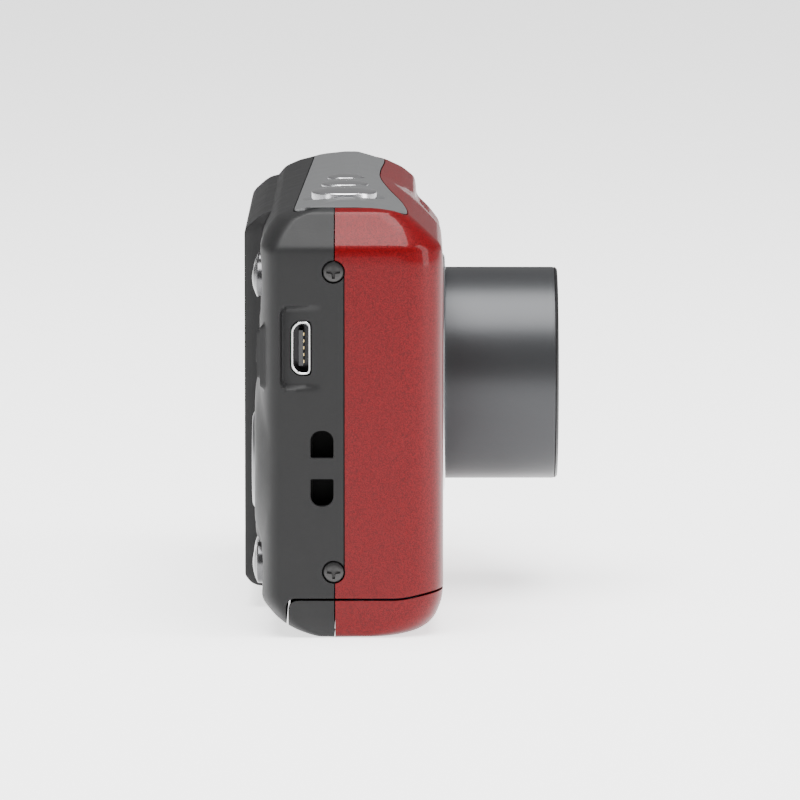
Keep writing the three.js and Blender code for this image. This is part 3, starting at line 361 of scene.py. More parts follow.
def with_base(x, y, z, s, run, turns, seam_y, count):
    """Adds rows that lead in from the skin's lowest edge, flat along the base, to the seam. They
    end at x along the run, and spread evenly from there to both ends of the line."""
    base_x = np.interp(s, [0, *run, 1], [x[0, 0], *turns, x[0, -1]])
    base_x = np.where((s >= run[0]) & (s <= run[1]), x[0], base_x)[None, :]
    share = np.linspace(0, 1, count, endpoint=False)[:, None]
    bx = base_x + (x[:1] - base_x) * share
    by = seam_y + (y[:1] - seam_y) * share
    return np.concatenate([bx, x]), np.concatenate([by, y]), np.concatenate([0 * bx, z])


COVER_WALL = 1.3 * MM
PLATE_GAP = 0.16 * MM
BASE_TURN = 4 * MM
front_s = spread(FRONT_LEGS, (30, 26, 96, 22, 16))
front_top = climb(front_line, front_s, front_seam, PLATE_GAP / 2)
front_v = np.linspace(0, 1, 150)[:, None] * front_top[None, :]
fx, fy, fz = front_line(front_v, front_s[None, :] + 0 * front_v, front_seam(ring_at(front_v)[0]))
fx, fy, fz = with_base(fx, fy, fz, front_s, FRONT_LEGS[2:4],
                       (fx[0].min() + BASE_TURN, fx[0].max() - BASE_TURN), SEAM_END - SEAM_GAP / 2, 10)
front_mesh = grid_mesh("front_cover_paint", fx, fy, fz)
tidy(front_mesh)
front_cover = add_piece("front_cover_paint", front_mesh, "body", red_paint, ("front_cover",))
thicken(front_cover, COVER_WALL)

door_rear_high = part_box("battery_door")[1]
skirt_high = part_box("battery_door_trim")[1]
DOOR_SEAM = 5.37 * MM
DOOR_REAR = door_rear_high.y
DOOR_INNER = skirt_high.x
bezel_low, bezel_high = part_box("lens_bezel")
LENS_X = (bezel_low.x + bezel_high.x) / 2
LENS_Z = (bezel_low.z + bezel_high.z) / 2
BEZEL_R = (bezel_high.x - bezel_low.x) / 2


def door_line(grow):
    """Outline (y, z) of the space the battery door closes, seen from the end."""
    rise = np.linspace(0, 1, 12)
    front_y = FRONT_Y + (1 - rise) * 7 * MM - 3 * MM * rise ** 2
    front_z = DOOR_SEAM + 1.1 * MM * ease(rise) + grow
    turn = np.linspace(0, math.pi / 2, 7)
    rear = DOOR_REAR + grow
    corner = 1.3 * MM
    back = np.stack([rear - corner + corner * np.cos(turn),
                     DOOR_SEAM + grow - corner + corner * np.sin(turn)], -1)
    path = [(FRONT_Y - 3 * MM, -3 * MM), (rear, -3 * MM)] + back.tolist()
    return np.array(path + np.stack([front_y, front_z], -1).tolist())


pin_low, pin_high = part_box("door_hinge_pin")
HINGE_X = (pin_low.x + pin_high.x) / 2
HINGE_Z = (pin_low.z + pin_high.z) / 2


def door_ends(grow, clear=False):
    """Outline (x, z) of the door from the front: it ends in a round on the hinge line. The space
    it swings in is straight under that line instead, a little wider at the base."""
    turn = np.linspace(0 if clear else -math.pi / 2, math.pi / 2, 17)
    r = HINGE_Z + grow
    bend = np.stack([HINGE_X + r * np.cos(turn), HINGE_Z + r * np.sin(turn)], -1)
    left = GRIP_X - 4 * MM
    base_end = HINGE_X + (r + 0.6 * MM if clear else 0)
    low = [(left, -4 * MM), (base_end, -4 * MM)]
    high = [(HINGE_X + grow, HINGE_Z + r + 0.1 * MM), (HINGE_X + grow, 12 * MM), (left, 12 * MM)]
    return np.concatenate([low, bend, high])


def prism(outline, axis, start, stop):
    """Closed mesh of a flat outline carried along an axis. Outline points are (y, z) for x,
    (x, z) for y and (x, y) for z."""
    outline = np.asarray(outline, float)
    n = len(outline)
    after = np.roll(outline, -1, axis=0)
    area = 0.5 * np.sum(outline[:, 0] * after[:, 1] - after[:, 0] * outline[:, 1])
    order = {"x": (1, 2, 0), "y": (0, 2, 1), "z": (0, 1, 2)}[axis]
    points = np.zeros((2 * n, 3))
    for k, level in enumerate((start, stop)):
        points[k * n:(k + 1) * n, order[0]] = outline[:, 0]
        points[k * n:(k + 1) * n, order[1]] = outline[:, 1]
        points[k * n:(k + 1) * n, order[2]] = level
    i = np.arange(n)
    j = (i + 1) % n
    sides = np.stack([i, j, j + n, i + n], -1).tolist()
    faces = sides + [list(range(n))[::-1], list(range(n, 2 * n))]
    if (area < 0) != (axis == "y"):
        faces = [face[::-1] for face in faces]
    mesh = bpy.data.meshes.new("prism")
    mesh.from_pydata(points.tolist(), [], faces)
    return mesh


def rounded(u0, u1, v0, v1, radius, steps=8):
    """Outline of a rectangle with round corners."""
    turn = np.linspace(0, math.pi / 2, steps + 1)
    corners = [(u1 - radius, v1 - radius, 0), (u0 + radius, v1 - radius, 1),
               (u0 + radius, v0 + radius, 2), (u1 - radius, v0 + radius, 3)]
    return np.concatenate([np.stack([u + radius * np.cos(turn + k * math.pi / 2),
                                     v + radius * np.sin(turn + k * math.pi / 2)], -1)
                           for u, v, k in corners])


def face_outwards(mesh):
    """Turns every face of a closed mesh to point away from its inside."""
    bm = bmesh.new()
    bm.from_mesh(mesh)
    bmesh.ops.recalc_face_normals(bm, faces=bm.faces)
    bm.to_mesh(mesh)
    bm.free()


def lathe(name, radii, heights, axis, centre, steps=96):
    """Closed surface of revolution: a profile of radius against height carried round an axis.
    A profile that starts and ends on the axis is closed at its poles, any other runs round."""
    radii = np.asarray(radii, float)[:, None]
    heights = np.asarray(heights, float)[:, None]
    turn = np.linspace(0, 2 * math.pi, steps, endpoint=False)[None, :]
    a = radii * np.cos(turn)
    b = radii * np.sin(turn)
    h = heights + 0 * turn
    x, y, z = {"x": (h, a, b), "y": (b, h, a), "z": (a, b, h)}[axis]
    mesh = grid_mesh(name, x + centre[0], y + centre[1], z + centre[2], close_u=True)
    tidy(mesh)
    face_outwards(mesh)
    return mesh


def carve(obj, cutters, mode="DIFFERENCE"):
    """Cuts closed tool meshes out of a piece, all at once."""
    tool_mesh = bpy.data.meshes.new("cutters")
    bm = bmesh.new()
    for mesh in cutters:
        bm.from_mesh(mesh)
    bm.to_mesh(tool_mesh)
    bm.free()
    tool = bpy.data.objects.new("cutters", tool_mesh)
    bpy.context.collection.objects.link(tool)
    cut = obj.modifiers.new("cut", "BOOLEAN")
    cut.operation = mode
    cut.object = tool
    cut.solver = "MANIFOLD"
    bpy.context.view_layer.objects.active = obj
    bpy.ops.object.modifier_apply(modifier="cut")
    bpy.data.objects.remove(tool)


door_space = prism(door_line(0.24 * MM), "x", GRIP_X - 3 * MM, DOOR_INNER + 1 * MM)
door_block = bpy.data.objects.new("door_block", door_space)
bpy.context.collection.objects.link(door_block)
door_reach = prism(door_ends(0.15 * MM, True), "y", FRONT_Y - 6 * MM, BLOCK_FACE + 6 * MM)
carve(door_block, [door_reach], "INTERSECT")
door_space = door_block.data
bpy.data.objects.remove(door_block)
BORE_GAP = 0.12 * MM
lens_bore = lathe("lens_bore", [0, BEZEL_R + BORE_GAP, BEZEL_R + BORE_GAP, 0],
                  [FRONT_Y - 4 * MM, FRONT_Y - 4 * MM, FRONT_Y + 6 * MM, FRONT_Y + 6 * MM], "y",
                  (LENS_X, 0, LENS_Z), 128)
flash_low, flash_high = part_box("flash_window")
PANE_GAP = 0.15 * MM
flash_cut = prism(rounded(flash_low.x - PANE_GAP, flash_high.x + PANE_GAP, flash_low.z - PANE_GAP,
                          flash_high.z + PANE_GAP, 1.4 * MM), "y", FRONT_Y - 4 * MM, FRONT_Y + 5 * MM)
lamp_low, lamp_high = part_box("focus_lamp_window")
LAMP_X = (lamp_low.x + lamp_high.x) / 2
LAMP_Z = (lamp_low.z + lamp_high.z) / 2
LAMP_R = (lamp_high.x - lamp_low.x) / 2
lamp_cut = lathe("lamp_bore", [0, LAMP_R + 0.1 * MM, LAMP_R + 0.1 * MM, 0],
                 [FRONT_Y - 4 * MM, FRONT_Y - 4 * MM, FRONT_Y + 5 * MM, FRONT_Y + 5 * MM], "y",
                 (LAMP_X, 0, LAMP_Z), 48)


def copy_of(obj, name):
    """A second piece with the same mesh, before either is cut."""
    mesh = obj.data.copy()
    mesh.name = name
    other = bpy.data.objects.new(name, mesh)
    bpy.context.collection.objects.link(other)
    return other


def sharpen(obj, degrees=38):
    """Shades smooth except across edges steeper than the angle."""
    bpy.context.view_layer.objects.active = obj
    obj.select_set(True)
    bpy.ops.object.shade_smooth_by_angle(angle=math.radians(degrees), keep_sharp_edges=False)
    obj.select_set(False)


skirt = copy_of(front_cover, "battery_door_paint")
screw_bores = []
for end_x, inward in ((GRIP_X, 1), (FAR_X, -1)):
    for z in SCREW_ZS:
        outside = end_x - inward * 2 * MM
        inside = end_x + inward * 3 * MM
        screw_bores.append(lathe("screw_bore", [0, NOTCH_R, NOTCH_R, 0],
                                 [outside, outside, inside, inside], "x", (0, SCREW_Y, z), 48))
bush_low, bush_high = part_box("tripod_bush")
BUSH_X = (bush_low.x + bush_high.x) / 2
BUSH_Y = (bush_low.y + bush_high.y) / 2
BUSH_R = 4.6 * MM
bush_cut = lathe("bush_bore", [0, BUSH_R + BORE_GAP, BUSH_R + BORE_GAP, 0],
                 [-2 * MM, -2 * MM, 4 * MM, 4 * MM], "z", (BUSH_X, BUSH_Y, 0), 96)
carve(front_cover, [door_space, lens_bore, flash_cut, lamp_cut, bush_cut] + screw_bores)
sharpen(front_cover)

# ------------------------------------------------------------------ battery door, painted skirt
# The door's front part: the same red painted moulding as the front cover, carried round under the
# grip end, clipped to the charcoal tray and closed at its inner end by a round on the hinge line.
door_inside = prism(door_line(-0.1 * MM), "x", GRIP_X - 3 * MM, DOOR_INNER)
door_length = prism(door_ends(0.0), "y", FRONT_Y - 5 * MM, BLOCK_FACE + 5 * MM)
carve(skirt, [door_inside], "INTERSECT")
carve(skirt, [door_length], "INTERSECT")
sharpen(skirt)
skirt.data.materials.clear()
skirt.data.materials.append(red_paint)
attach(skirt, "battery_door")
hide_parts("battery_door_trim")

# ------------------------------------------------------------------ rear cover
# Charcoal rear shell in fine-textured polycarbonate: display block, thumb rest with three ribs,
# dished keys, a raised ring round the pad, the inlet's recess and the strap bar in the grip end.
def grain(tree, shader, scale, strength, distance, detail=2.0, rough=None):
    """Fine moulded texture: noise on object coordinates as a bump and a roughness drift."""
    place = node(tree, "ShaderNodeTexCoord")
    noise = node(tree, "ShaderNodeTexNoise", {"Scale": scale, "Detail": detail})
    tree.links.new(place.outputs["Object"], noise.inputs["Vector"])
    bump = node(tree, "ShaderNodeBump", {"Strength": strength, "Distance": distance})
    tree.links.new(noise.outputs["Fac"], bump.inputs["Height"])
    tree.links.new(bump.outputs["Normal"], shader.inputs["Normal"])
    if rough:
        broad = node(tree, "ShaderNodeTexNoise", {"Scale": scale / 12, "Detail": 3.0})
        tree.links.new(place.outputs["Object"], broad.inputs["Vector"])
        spread = node(tree, "ShaderNodeMapRange", {"To Min": rough[0], "To Max": rough[1]})
        tree.links.new(broad.outputs["Fac"], spread.inputs["Value"])
        tree.links.new(spread.outputs["Result"], shader.inputs["Roughness"])
    return place


charcoal, tree, shader = new_material("charcoal_texture", (0.0075, 0.0075, 0.0078), 0.48,
                                      Specular_IOR_Level=0.26)
grain(tree, shader, 3600.0, 0.35, 0.00003, rough=(0.46, 0.58))
REAR_CORNER = 2.9 * MM
THUMB_SWEEP = 2.7
REAR_LEGS = (0.0, 0.17, 0.28, 0.84, 0.885, 1.0)
PAD_SHARE = 0.62
PAD_END = -15.5 * MM


def rear_line(v, s, seam):
    """The same for the back half: s from 0 to 1 goes along the grip end, round the wide thumb
    corner, along the back, round the tight far corner and back along the far end."""
    z, end, front, deck, rear = ring_at(v)
    half_grip = -GRIP_X - end
    half_far = FAR_X - far_inset(z, end)
    y_back = REAR_Y - rear
    radius = np.minimum(REAR_CORNER, (y_back - (FRONT_Y + front)) * CORNER_SHARE)
    radius = np.minimum(radius, 0.6 * np.maximum(y_back - seam, 0.5 * MM))
    sweep = radius * THUMB_SWEEP
    t = along_legs(s, REAR_LEGS)
    bend_a = t[1] * math.pi / 2
    bend_b = t[3] * math.pi / 2
    x_from = -half_grip + sweep
    x_to = half_far - radius
    x_run = np.where(t[2] < PAD_SHARE, x_from + (PAD_END - x_from) * t[2] / PAD_SHARE,
                     PAD_END + (x_to - PAD_END) * (t[2] - PAD_SHARE) / (1 - PAD_SHARE))
    x = by_leg(s, REAR_LEGS, [-half_grip, x_from - sweep * np.cos(bend_a), x_run,
                              x_to + radius * np.sin(bend_b), half_far])
    y = by_leg(s, REAR_LEGS, [seam + (y_back - radius - seam) * t[0],
                              y_back - radius + radius * np.sin(bend_a), y_back,
                              y_back - radius + radius * np.cos(bend_b),
                              y_back - radius + (seam - y_back + radius) * t[4]])
    return x, y, z


def rear_seam(z):
    """y where the rear cover stops at each height."""
    return seam_mid(z) + SEAM_GAP / 2


ring_low, ring_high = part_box("nav_ring")
NAV_X = (ring_low.x + ring_high.x) / 2
NAV_Z = (ring_low.z + ring_high.z) / 2
NAV_R = (ring_high.x - ring_low.x) / 2
KEY_FLANGE = 0.35 * MM
REAR_KEYS = {}
for key in ("zoom_wide_button", "zoom_tele_button", "menu_button", "playback_button"):
    low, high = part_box(key)
    REAR_KEYS[key] = ((low.x + high.x) / 2, (low.z + high.z) / 2, (high.x - low.x) / 2 - KEY_FLANGE)
BLOCK_X0 = -17.5 * MM
BLOCK_X1 = 44.5 * MM
BLOCK_SIDE = np.array([(2.6, 10.6), (3.4, 13.0), (4.6, 14.0), (54.0, 14.0), (54.6, 13.7), (56.1, 12.0),
                       (57.2, 10.2)]) * MM
block_z = np.linspace(0, TOP_Z, 700)
BLOCK_BLEND = 5
NO_BLOCK = -5 * MM
block_y = smooth(np.interp(block_z, BLOCK_SIDE[:, 0], BLOCK_SIDE[:, 1], left=NO_BLOCK, right=NO_BLOCK),
                 BLOCK_BLEND)
THUMB_RIBS = [(-43.6, 34.4, 43.8), (-41.4, 35.5, 43.0), (-38.6, 37.3, 40.7)]
RIB_HEIGHT = 0.6 * MM
RIB_HALF = 0.5 * MM


def sculpt(x, y, z):
    """Moves the plain back outwards to its block, ribs and pad ring, and inwards at the keys."""
    facing = ease((y - (REAR_Y - 3.4 * MM)) / (1.8 * MM))
    shift = 0 * x
    for kx, kz, kr in REAR_KEYS.values():
        d = np.hypot(x - kx, z - kz)
        shift = shift - 0.95 * MM * ease((kr + 3.6 * MM - d) / (3.0 * MM))
    d = np.hypot(x - NAV_X, z - NAV_Z)
    shift = shift + 0.75 * MM * ease((NAV_R + 7.5 * MM - d) / (5.5 * MM))
    shift = shift - 0.9 * MM * ease((NAV_R + 1.5 * MM - d) / (1.0 * MM))
    for rx, z0, z1 in THUMB_RIBS:
        across = 1 - np.clip(np.abs(x - rx * MM) / RIB_HALF, 0, 1) ** 2
        ends = ease((z - z0 * MM) / (0.7 * MM)) * ease((z1 * MM - z) / (0.7 * MM))
        shift = shift + RIB_HEIGHT * across * ends
    thumb = ease((BLOCK_X0 - x) / (1.2 * MM))
    y = y + shift * facing * thumb
    step = ease((x - BLOCK_X0) / (0.7 * MM)) * ease((BLOCK_X1 - x) / (1.3 * MM))
    target = np.interp(z, block_z, block_y)
    on_back = y > REAR_Y - 7 * MM
    return np.where(on_back, y + np.maximum(target - y, 0) * step, y)


INLET_Z0 = 34.9 * MM
INLET_Z1 = 46.4 * MM
INLET_Y0 = 2.6 * MM
INLET_Y1 = 8.55 * MM
INLET_DEPTH = 1.1 * MM


def inlet_dish(x, y, z):
    """Moves the grip end inwards to a shallow wedge round the inlet, deepest towards the back."""
    slope = np.clip((y - INLET_Y0) / (INLET_Y1 - INLET_Y0), 0, 1)
    corner = 1.2 * MM
    dy = INLET_Y1 - y
    dz = np.minimum(z - INLET_Z0, INLET_Z1 - z)
    near = np.where((dy < corner) & (dz < corner), corner - np.hypot(corner - dy, corner - dz),
                    np.minimum(dy, dz))
    wall = ease(near / (0.4 * MM))
    on_end = ease((GRIP_X + 5 * MM - x) / (1 * MM))
    return x + INLET_DEPTH * slope * wall * on_end


pad_leg = REAR_LEGS[2] + (REAR_LEGS[3] - REAR_LEGS[2]) * PAD_SHARE
rear_s = spread((*REAR_LEGS[:3], pad_leg, *REAR_LEGS[3:]), (62, 34, 96, 46, 12, 14))
rear_top = climb(rear_line, rear_s, rear_seam, PLATE_GAP / 2)
rear_v = np.linspace(0, 1, 205)[:, None] * rear_top[None, :]
rx, ry, rz = rear_line(rear_v, rear_s[None, :] + 0 * rear_v, rear_seam(ring_at(rear_v)[0]))
ry = sculpt(rx, ry, rz)
rx = inlet_dish(rx, ry, rz)
back_run = REAR_LEGS[2:4]
rx, ry, rz = with_base(rx, ry, rz, rear_s, back_run, rx[0, np.searchsorted(rear_s, back_run)],
                       SEAM_END + SEAM_GAP / 2, 8)
rear_mesh = grid_mesh("rear_cover_shell", rx, ry, rz, flip=True)
tidy(rear_mesh)
rear_cover = add_piece("rear_cover_shell", rear_mesh, "body", charcoal, ("rear_cover",))
thicken(rear_cover, COVER_WALL)
tray = copy_of(rear_cover, "battery_door_tray")

window_low, window_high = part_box("display_window")
window_cut = prism(rounded(window_low.x - BORE_GAP, window_high.x + BORE_GAP, window_low.z - BORE_GAP,
                           window_high.z + BORE_GAP, 1.6 * MM), "y", window_low.y - 0.1 * MM,
                   BLOCK_FACE + 2 * MM)
PANE_LEDGE = 2.3 * MM
sight_cut = prism(rounded(window_low.x + PANE_LEDGE, window_high.x - PANE_LEDGE, window_low.z + PANE_LEDGE,
                          window_high.z - PANE_LEDGE, 0.6 * MM), "y", REAR_Y - 6 * MM, BLOCK_FACE + 2 * MM)
cuts = [door_space]
through = [REAR_Y - 6 * MM, REAR_Y - 6 * MM, REAR_Y + 4 * MM, REAR_Y + 4 * MM]
for kx, kz, kr in REAR_KEYS.values():
    cuts.append(lathe("key_bore", [0, kr + BORE_GAP, kr + BORE_GAP, 0], through, "y", (kx, 0, kz), 64))
cuts.append(lathe("pad_bore", [0, NAV_R + PANE_GAP, NAV_R + PANE_GAP, 0], through, "y",
                  (NAV_X, 0, NAV_Z), 96))
usb_low, usb_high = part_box("usb_socket")
USB_BEVEL = 0.9 * MM


def corner_profile(points, radius, steps=4):
    """A profile whose inner corners are replaced by short arcs of the given radius."""
    points = np.asarray(points, float)
    out = [points[:1]]
    for before, corner, after in zip(points[:-2], points[1:-1], points[2:]):
        to_a = before - corner
        to_b = after - corner
        reach = min(radius, np.linalg.norm(to_a) * 0.45, np.linalg.norm(to_b) * 0.45)
        p = corner + to_a / max(np.linalg.norm(to_a), 1e-9) * reach
        q = corner + to_b / max(np.linalg.norm(to_b), 1e-9) * reach
        t = np.linspace(0, 1, steps + 1)[:, None]
        out.append((1 - t) ** 2 * p + 2 * t * (1 - t) * corner + t ** 2 * q)
    out.append(points[-1:])
    return np.concatenate(out)


def inlet_outline(grow):
    """Six-sided outline (y, z) of the inlet's shell, its rear corners cut away."""
    y0 = usb_low.y - grow
    y1 = usb_high.y + grow
    z0 = usb_low.z - grow
    z1 = usb_high.z + grow
    b = USB_BEVEL + 0.4 * grow
    corners = [(y0, z0), (y1 - b, z0), (y1, z0 + b), (y1, z1 - b), (y1 - b, z1), (y0, z1)]
    loop = corners[-1:] + corners + corners[:1]
    return corner_profile(loop, 0.75 * MM, 5)[1:-1]


cuts.append(prism(inlet_outline(0.14 * MM), "x", GRIP_X - 2 * MM, GRIP_X + 4 * MM))
EYELET_Y0 = 1.07 * MM
EYELET_Y1 = 4.28 * MM
BAR_Z = 23.8 * MM
BAR_HALF = 1.45 * MM
HOLE_TALL = 3.85 * MM
EYELET_ROUND = 1.45 * MM
arch = np.linspace(0, math.pi / 2, 9)
for side in (1, -1):
    z_in = BAR_Z + side * BAR_HALF
    z_out = z_in + side * HOLE_TALL
    r = EYELET_ROUND
    d_shape = [(EYELET_Y0 + 0.15 * MM, z_in), (EYELET_Y0, z_in + side * 0.2 * MM)]
    d_shape += [(EYELET_Y0 + r - r * math.cos(t), z_out - side * (r - r * math.sin(t))) for t in arch]
    d_shape += [(EYELET_Y1 - r + r * math.sin(t), z_out - side * (r - r * math.cos(t))) for t in arch]
    d_shape += [(EYELET_Y1, z_in + side * 0.2 * MM), (EYELET_Y1 - 0.15 * MM, z_in)]
    cuts.append(prism(d_shape, "x", GRIP_X - 2 * MM, GRIP_X + 4 * MM))
base_low, base_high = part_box("base_screw_1")
BASE_X = (base_low.x + base_high.x) / 2
BASE_Y = (base_low.y + base_high.y) / 2
BASE_R = (base_high.x - base_low.x) / 2
cuts.append(bush_cut)
cuts.extend(screw_bores)
cuts.append(lathe("base_bore", [0, BASE_R + BORE_GAP, BASE_R + BORE_GAP, 0],
                  [-2 * MM, -2 * MM, 4 * MM, 4 * MM], "z", (BASE_X, BASE_Y, 0), 48))
carve(rear_cover, cuts)
carve(rear_cover, [window_cut])
carve(rear_cover, [sight_cut])
sharpen(rear_cover)

# ------------------------------------------------------------------ battery door tray
# The door's back part, in the rear cover's charcoal plastic: it carries the hinge knuckles and the
# strip that joins the two cells.
carve(tray, [door_inside], "INTERSECT")
carve(tray, [door_length], "INTERSECT")
sharpen(tray)
tray.data.materials.clear()
tray.data.materials.append(charcoal)
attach(tray, "battery_door")
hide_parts("battery_door")

# ------------------------------------------------------------------ top plate
# Satin grey anodised aluminium plate, pressed to the crown's curve and let in flush between the
# covers, with a dished seat round the shutter key and a bore for each top key.
top_satin, tree, shader = new_material("top_satin", (0.13, 0.132, 0.135), 0.4, 0.5)
grain(tree, shader, 2600.0, 0.12, 0.00002, rough=(0.32, 0.42))


def inside_ring(x, y, v):
    """Signed distance into the skin's outline at level v; above 0 is inside."""
    z, end, front, deck, rear = ring_at(v)
    y_front = FRONT_Y + deck + (front - deck) * ease((x / DECK_EDGE + 1) / 2)
    dx = np.minimum(x - (GRIP_X + end), (FAR_X - far_inset(z, end)) - x)
    dyf = y - y_front
    dyr = (REAR_Y - rear) - y
    depth = (REAR_Y - rear) - y_front
    corner = np.minimum(FRONT_CORNER * (1 - CROWN_TIGHTENS), depth * CORNER_SHARE)
    in_corner = corner - np.hypot(np.maximum(corner - dx, 0), np.maximum(corner - dyf, 0))
    plain = np.minimum(dx, np.minimum(dyf, dyr))
    return np.where((dx < corner) & (dyf < corner), in_corner, plain)


def crown_height(x, y):
    """Height of the skin over each point of the top."""
    low = np.full(x.shape, 0.55)
    high = np.ones(x.shape)
    for _ in range(32):
        mid = (low + high) / 2
        inside = inside_ring(x, y, mid) > 0
        low = np.where(inside, mid, low)
        high = np.where(inside, high, mid)
    return ring_at((low + high) / 2)[0]


TOP_FLANGE = 0.7 * MM
TOP_KEYS = {}
for key in ("shutter_button", "power_button", "mode_button"):
    low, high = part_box(key)
    TOP_KEYS[key] = ((low.x + high.x) / 2, (low.y + high.y) / 2, (high.x - low.x) / 2 - TOP_FLANGE)
share = (1 - np.cos(np.linspace(0, math.pi, 150))) / 2
grip_edge = PLATE_GRIP + PLATE_GAP / 2
far_edge = PLATE_FAR - PLATE_GAP / 2
tx = grip_edge + (far_edge - grip_edge) * share
from_end = np.minimum(tx - grip_edge, far_edge - tx)
into_corner = np.maximum(PLATE_CORNER - from_end, 0)
tuck = PLATE_CORNER - np.sqrt(np.maximum(PLATE_CORNER ** 2 - into_corner ** 2, 0))
ty0 = plate_front(tx) + PLATE_GAP / 2 + tuck
ty1 = plate_back(tx) - PLATE_GAP / 2 - tuck
across = np.linspace(0, 1, 72)[:, None]
txx = tx[None, :] + 0 * across
tyy = ty0 + (ty1 - ty0) * across
tzz = crown_height(txx, tyy)
shutter_x, shutter_y, shutter_r = TOP_KEYS["shutter_button"]
from_shutter = np.hypot(txx - shutter_x, tyy - shutter_y)
tzz = tzz - 0.5 * MM * ease((shutter_r + 1.5 * MM - from_shutter) / (0.9 * MM))
plate_mesh = grid_mesh("top_plate_satin", txx, tyy, tzz)
tidy(plate_mesh)
top_plate = add_piece("top_plate_satin", plate_mesh, "body", top_satin, ("top_plate",))
thicken(top_plate, 1.1 * MM)
carve(top_plate, [lathe("top_bore", [0, r + 0.13 * MM, r + 0.13 * MM, 0],
                        [TOP_Z - 9 * MM, TOP_Z - 9 * MM, TOP_Z + 3 * MM, TOP_Z + 3 * MM], "z", (x, y, 0), 96)
                  for x, y, r in TOP_KEYS.values()])
sharpen(top_plate)

# ------------------------------------------------------------------ keys
# Domed plastic caps, plated bright on the top and smoked on the back. Each has a flange inside
# that the cover holds in, and pushes a switch on the board behind it.
plating, tree, shader = new_material("satin_plating", (0.62, 0.62, 0.64), 0.2, 1.0)
grain(tree, shader, 900.0, 0.05, 0.00002, rough=(0.16, 0.26))


def domed(radius, base, face, dome, edge, lip, lip_height):
    """Profile of a domed cap: flange, wall, a small round and a shallow dome to the centre."""
    t = np.linspace(0, math.pi / 2, 7)
    wall = [(0, base), (radius + lip, base), (radius + lip, base + lip_height), (radius, base + lip_height)]
    shoulder = [(radius - edge + edge * math.cos(a), face - edge + edge * math.sin(a)) for a in t]
    u = np.linspace(1, 0, 12)[1:]
    crown = [((radius - edge) * k, face + dome * (1 - k * k)) for k in u]
    return np.array(wall + shoulder + crown)


CAP_EDGE = 0.3 * MM
FLANGE_TALL = 0.6 * MM
for key, (x, y, r) in TOP_KEYS.items():
    low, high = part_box(key)
    dome = 0.42 * MM if key == "shutter_button" else 0.3 * MM
    outline = domed(r, low.z, high.z - dome, dome, CAP_EDGE, TOP_FLANGE, FLANGE_TALL)
    cap = add_piece(key + "_cap", lathe(key, outline[:, 0], outline[:, 1], "z", (x, y, 0)), key, plating,
                    (key,))
    sharpen(cap, 50)
smoked, tree, shader = new_material("smoked_plating", (0.1, 0.1, 0.103), 0.2, 0.9)
grain(tree, shader, 900.0, 0.05, 0.00002, rough=(0.2, 0.3))
REAR_DOME = 0.6 * MM
for key, (x, z, r) in REAR_KEYS.items():
    low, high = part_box(key)
    outline = domed(r, low.y, high.y - REAR_DOME, REAR_DOME, CAP_EDGE, KEY_FLANGE, FLANGE_TALL)
    cap = add_piece(key + "_cap", lathe(key, outline[:, 0], outline[:, 1], "y", (x, 0, z)), key, smoked,
                    (key,))
    sharpen(cap, 50)

# ------------------------------------------------------------------ pad
# Four-way ring in satin dark plating round a domed bright OK key. Both are plastic mouldings, and
# the ring rocks on a small carrier under it.
pad_metal, tree, shader = new_material("pad_plating", (0.16, 0.16, 0.165), 0.3, 0.9)
grain(tree, shader, 1500.0, 0.08, 0.00002, rough=(0.24, 0.36))
NAV_HOLE = 3.1 * MM
pad = corner_profile([
    (NAV_HOLE, ring_low.y), (NAV_R, ring_low.y), (NAV_R, ring_high.y - 0.7 * MM),
    (NAV_R - 1.3 * MM, ring_high.y), (NAV_R - 3.0 * MM, ring_high.y - 0.15 * MM),
    (NAV_HOLE, ring_high.y - 0.55 * MM), (NAV_HOLE, ring_low.y)], 0.35 * MM)
pad = np.append(pad, pad[:1], axis=0)
pad_mesh = lathe("pad", pad[:, 0], pad[:, 1], "y", (NAV_X, 0, NAV_Z))
pad_ring = add_piece("four_way_pad", pad_mesh, "nav_ring", pad_metal, ("nav_ring",))
sharpen(pad_ring, 40)
ok_low, ok_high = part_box("ok_button")
ok_r = (ok_high.x - ok_low.x) / 2
outline = domed(ok_r, ok_low.y, ok_high.y - 0.5 * MM, 0.5 * MM, 0.25 * MM, 0.0, 0.5 * MM)
cap = add_piece("ok_cap", lathe("ok", outline[:, 0], outline[:, 1], "y", (NAV_X, 0, NAV_Z)), "ok_button",
                plating, ("ok_button",))
sharpen(cap, 50)

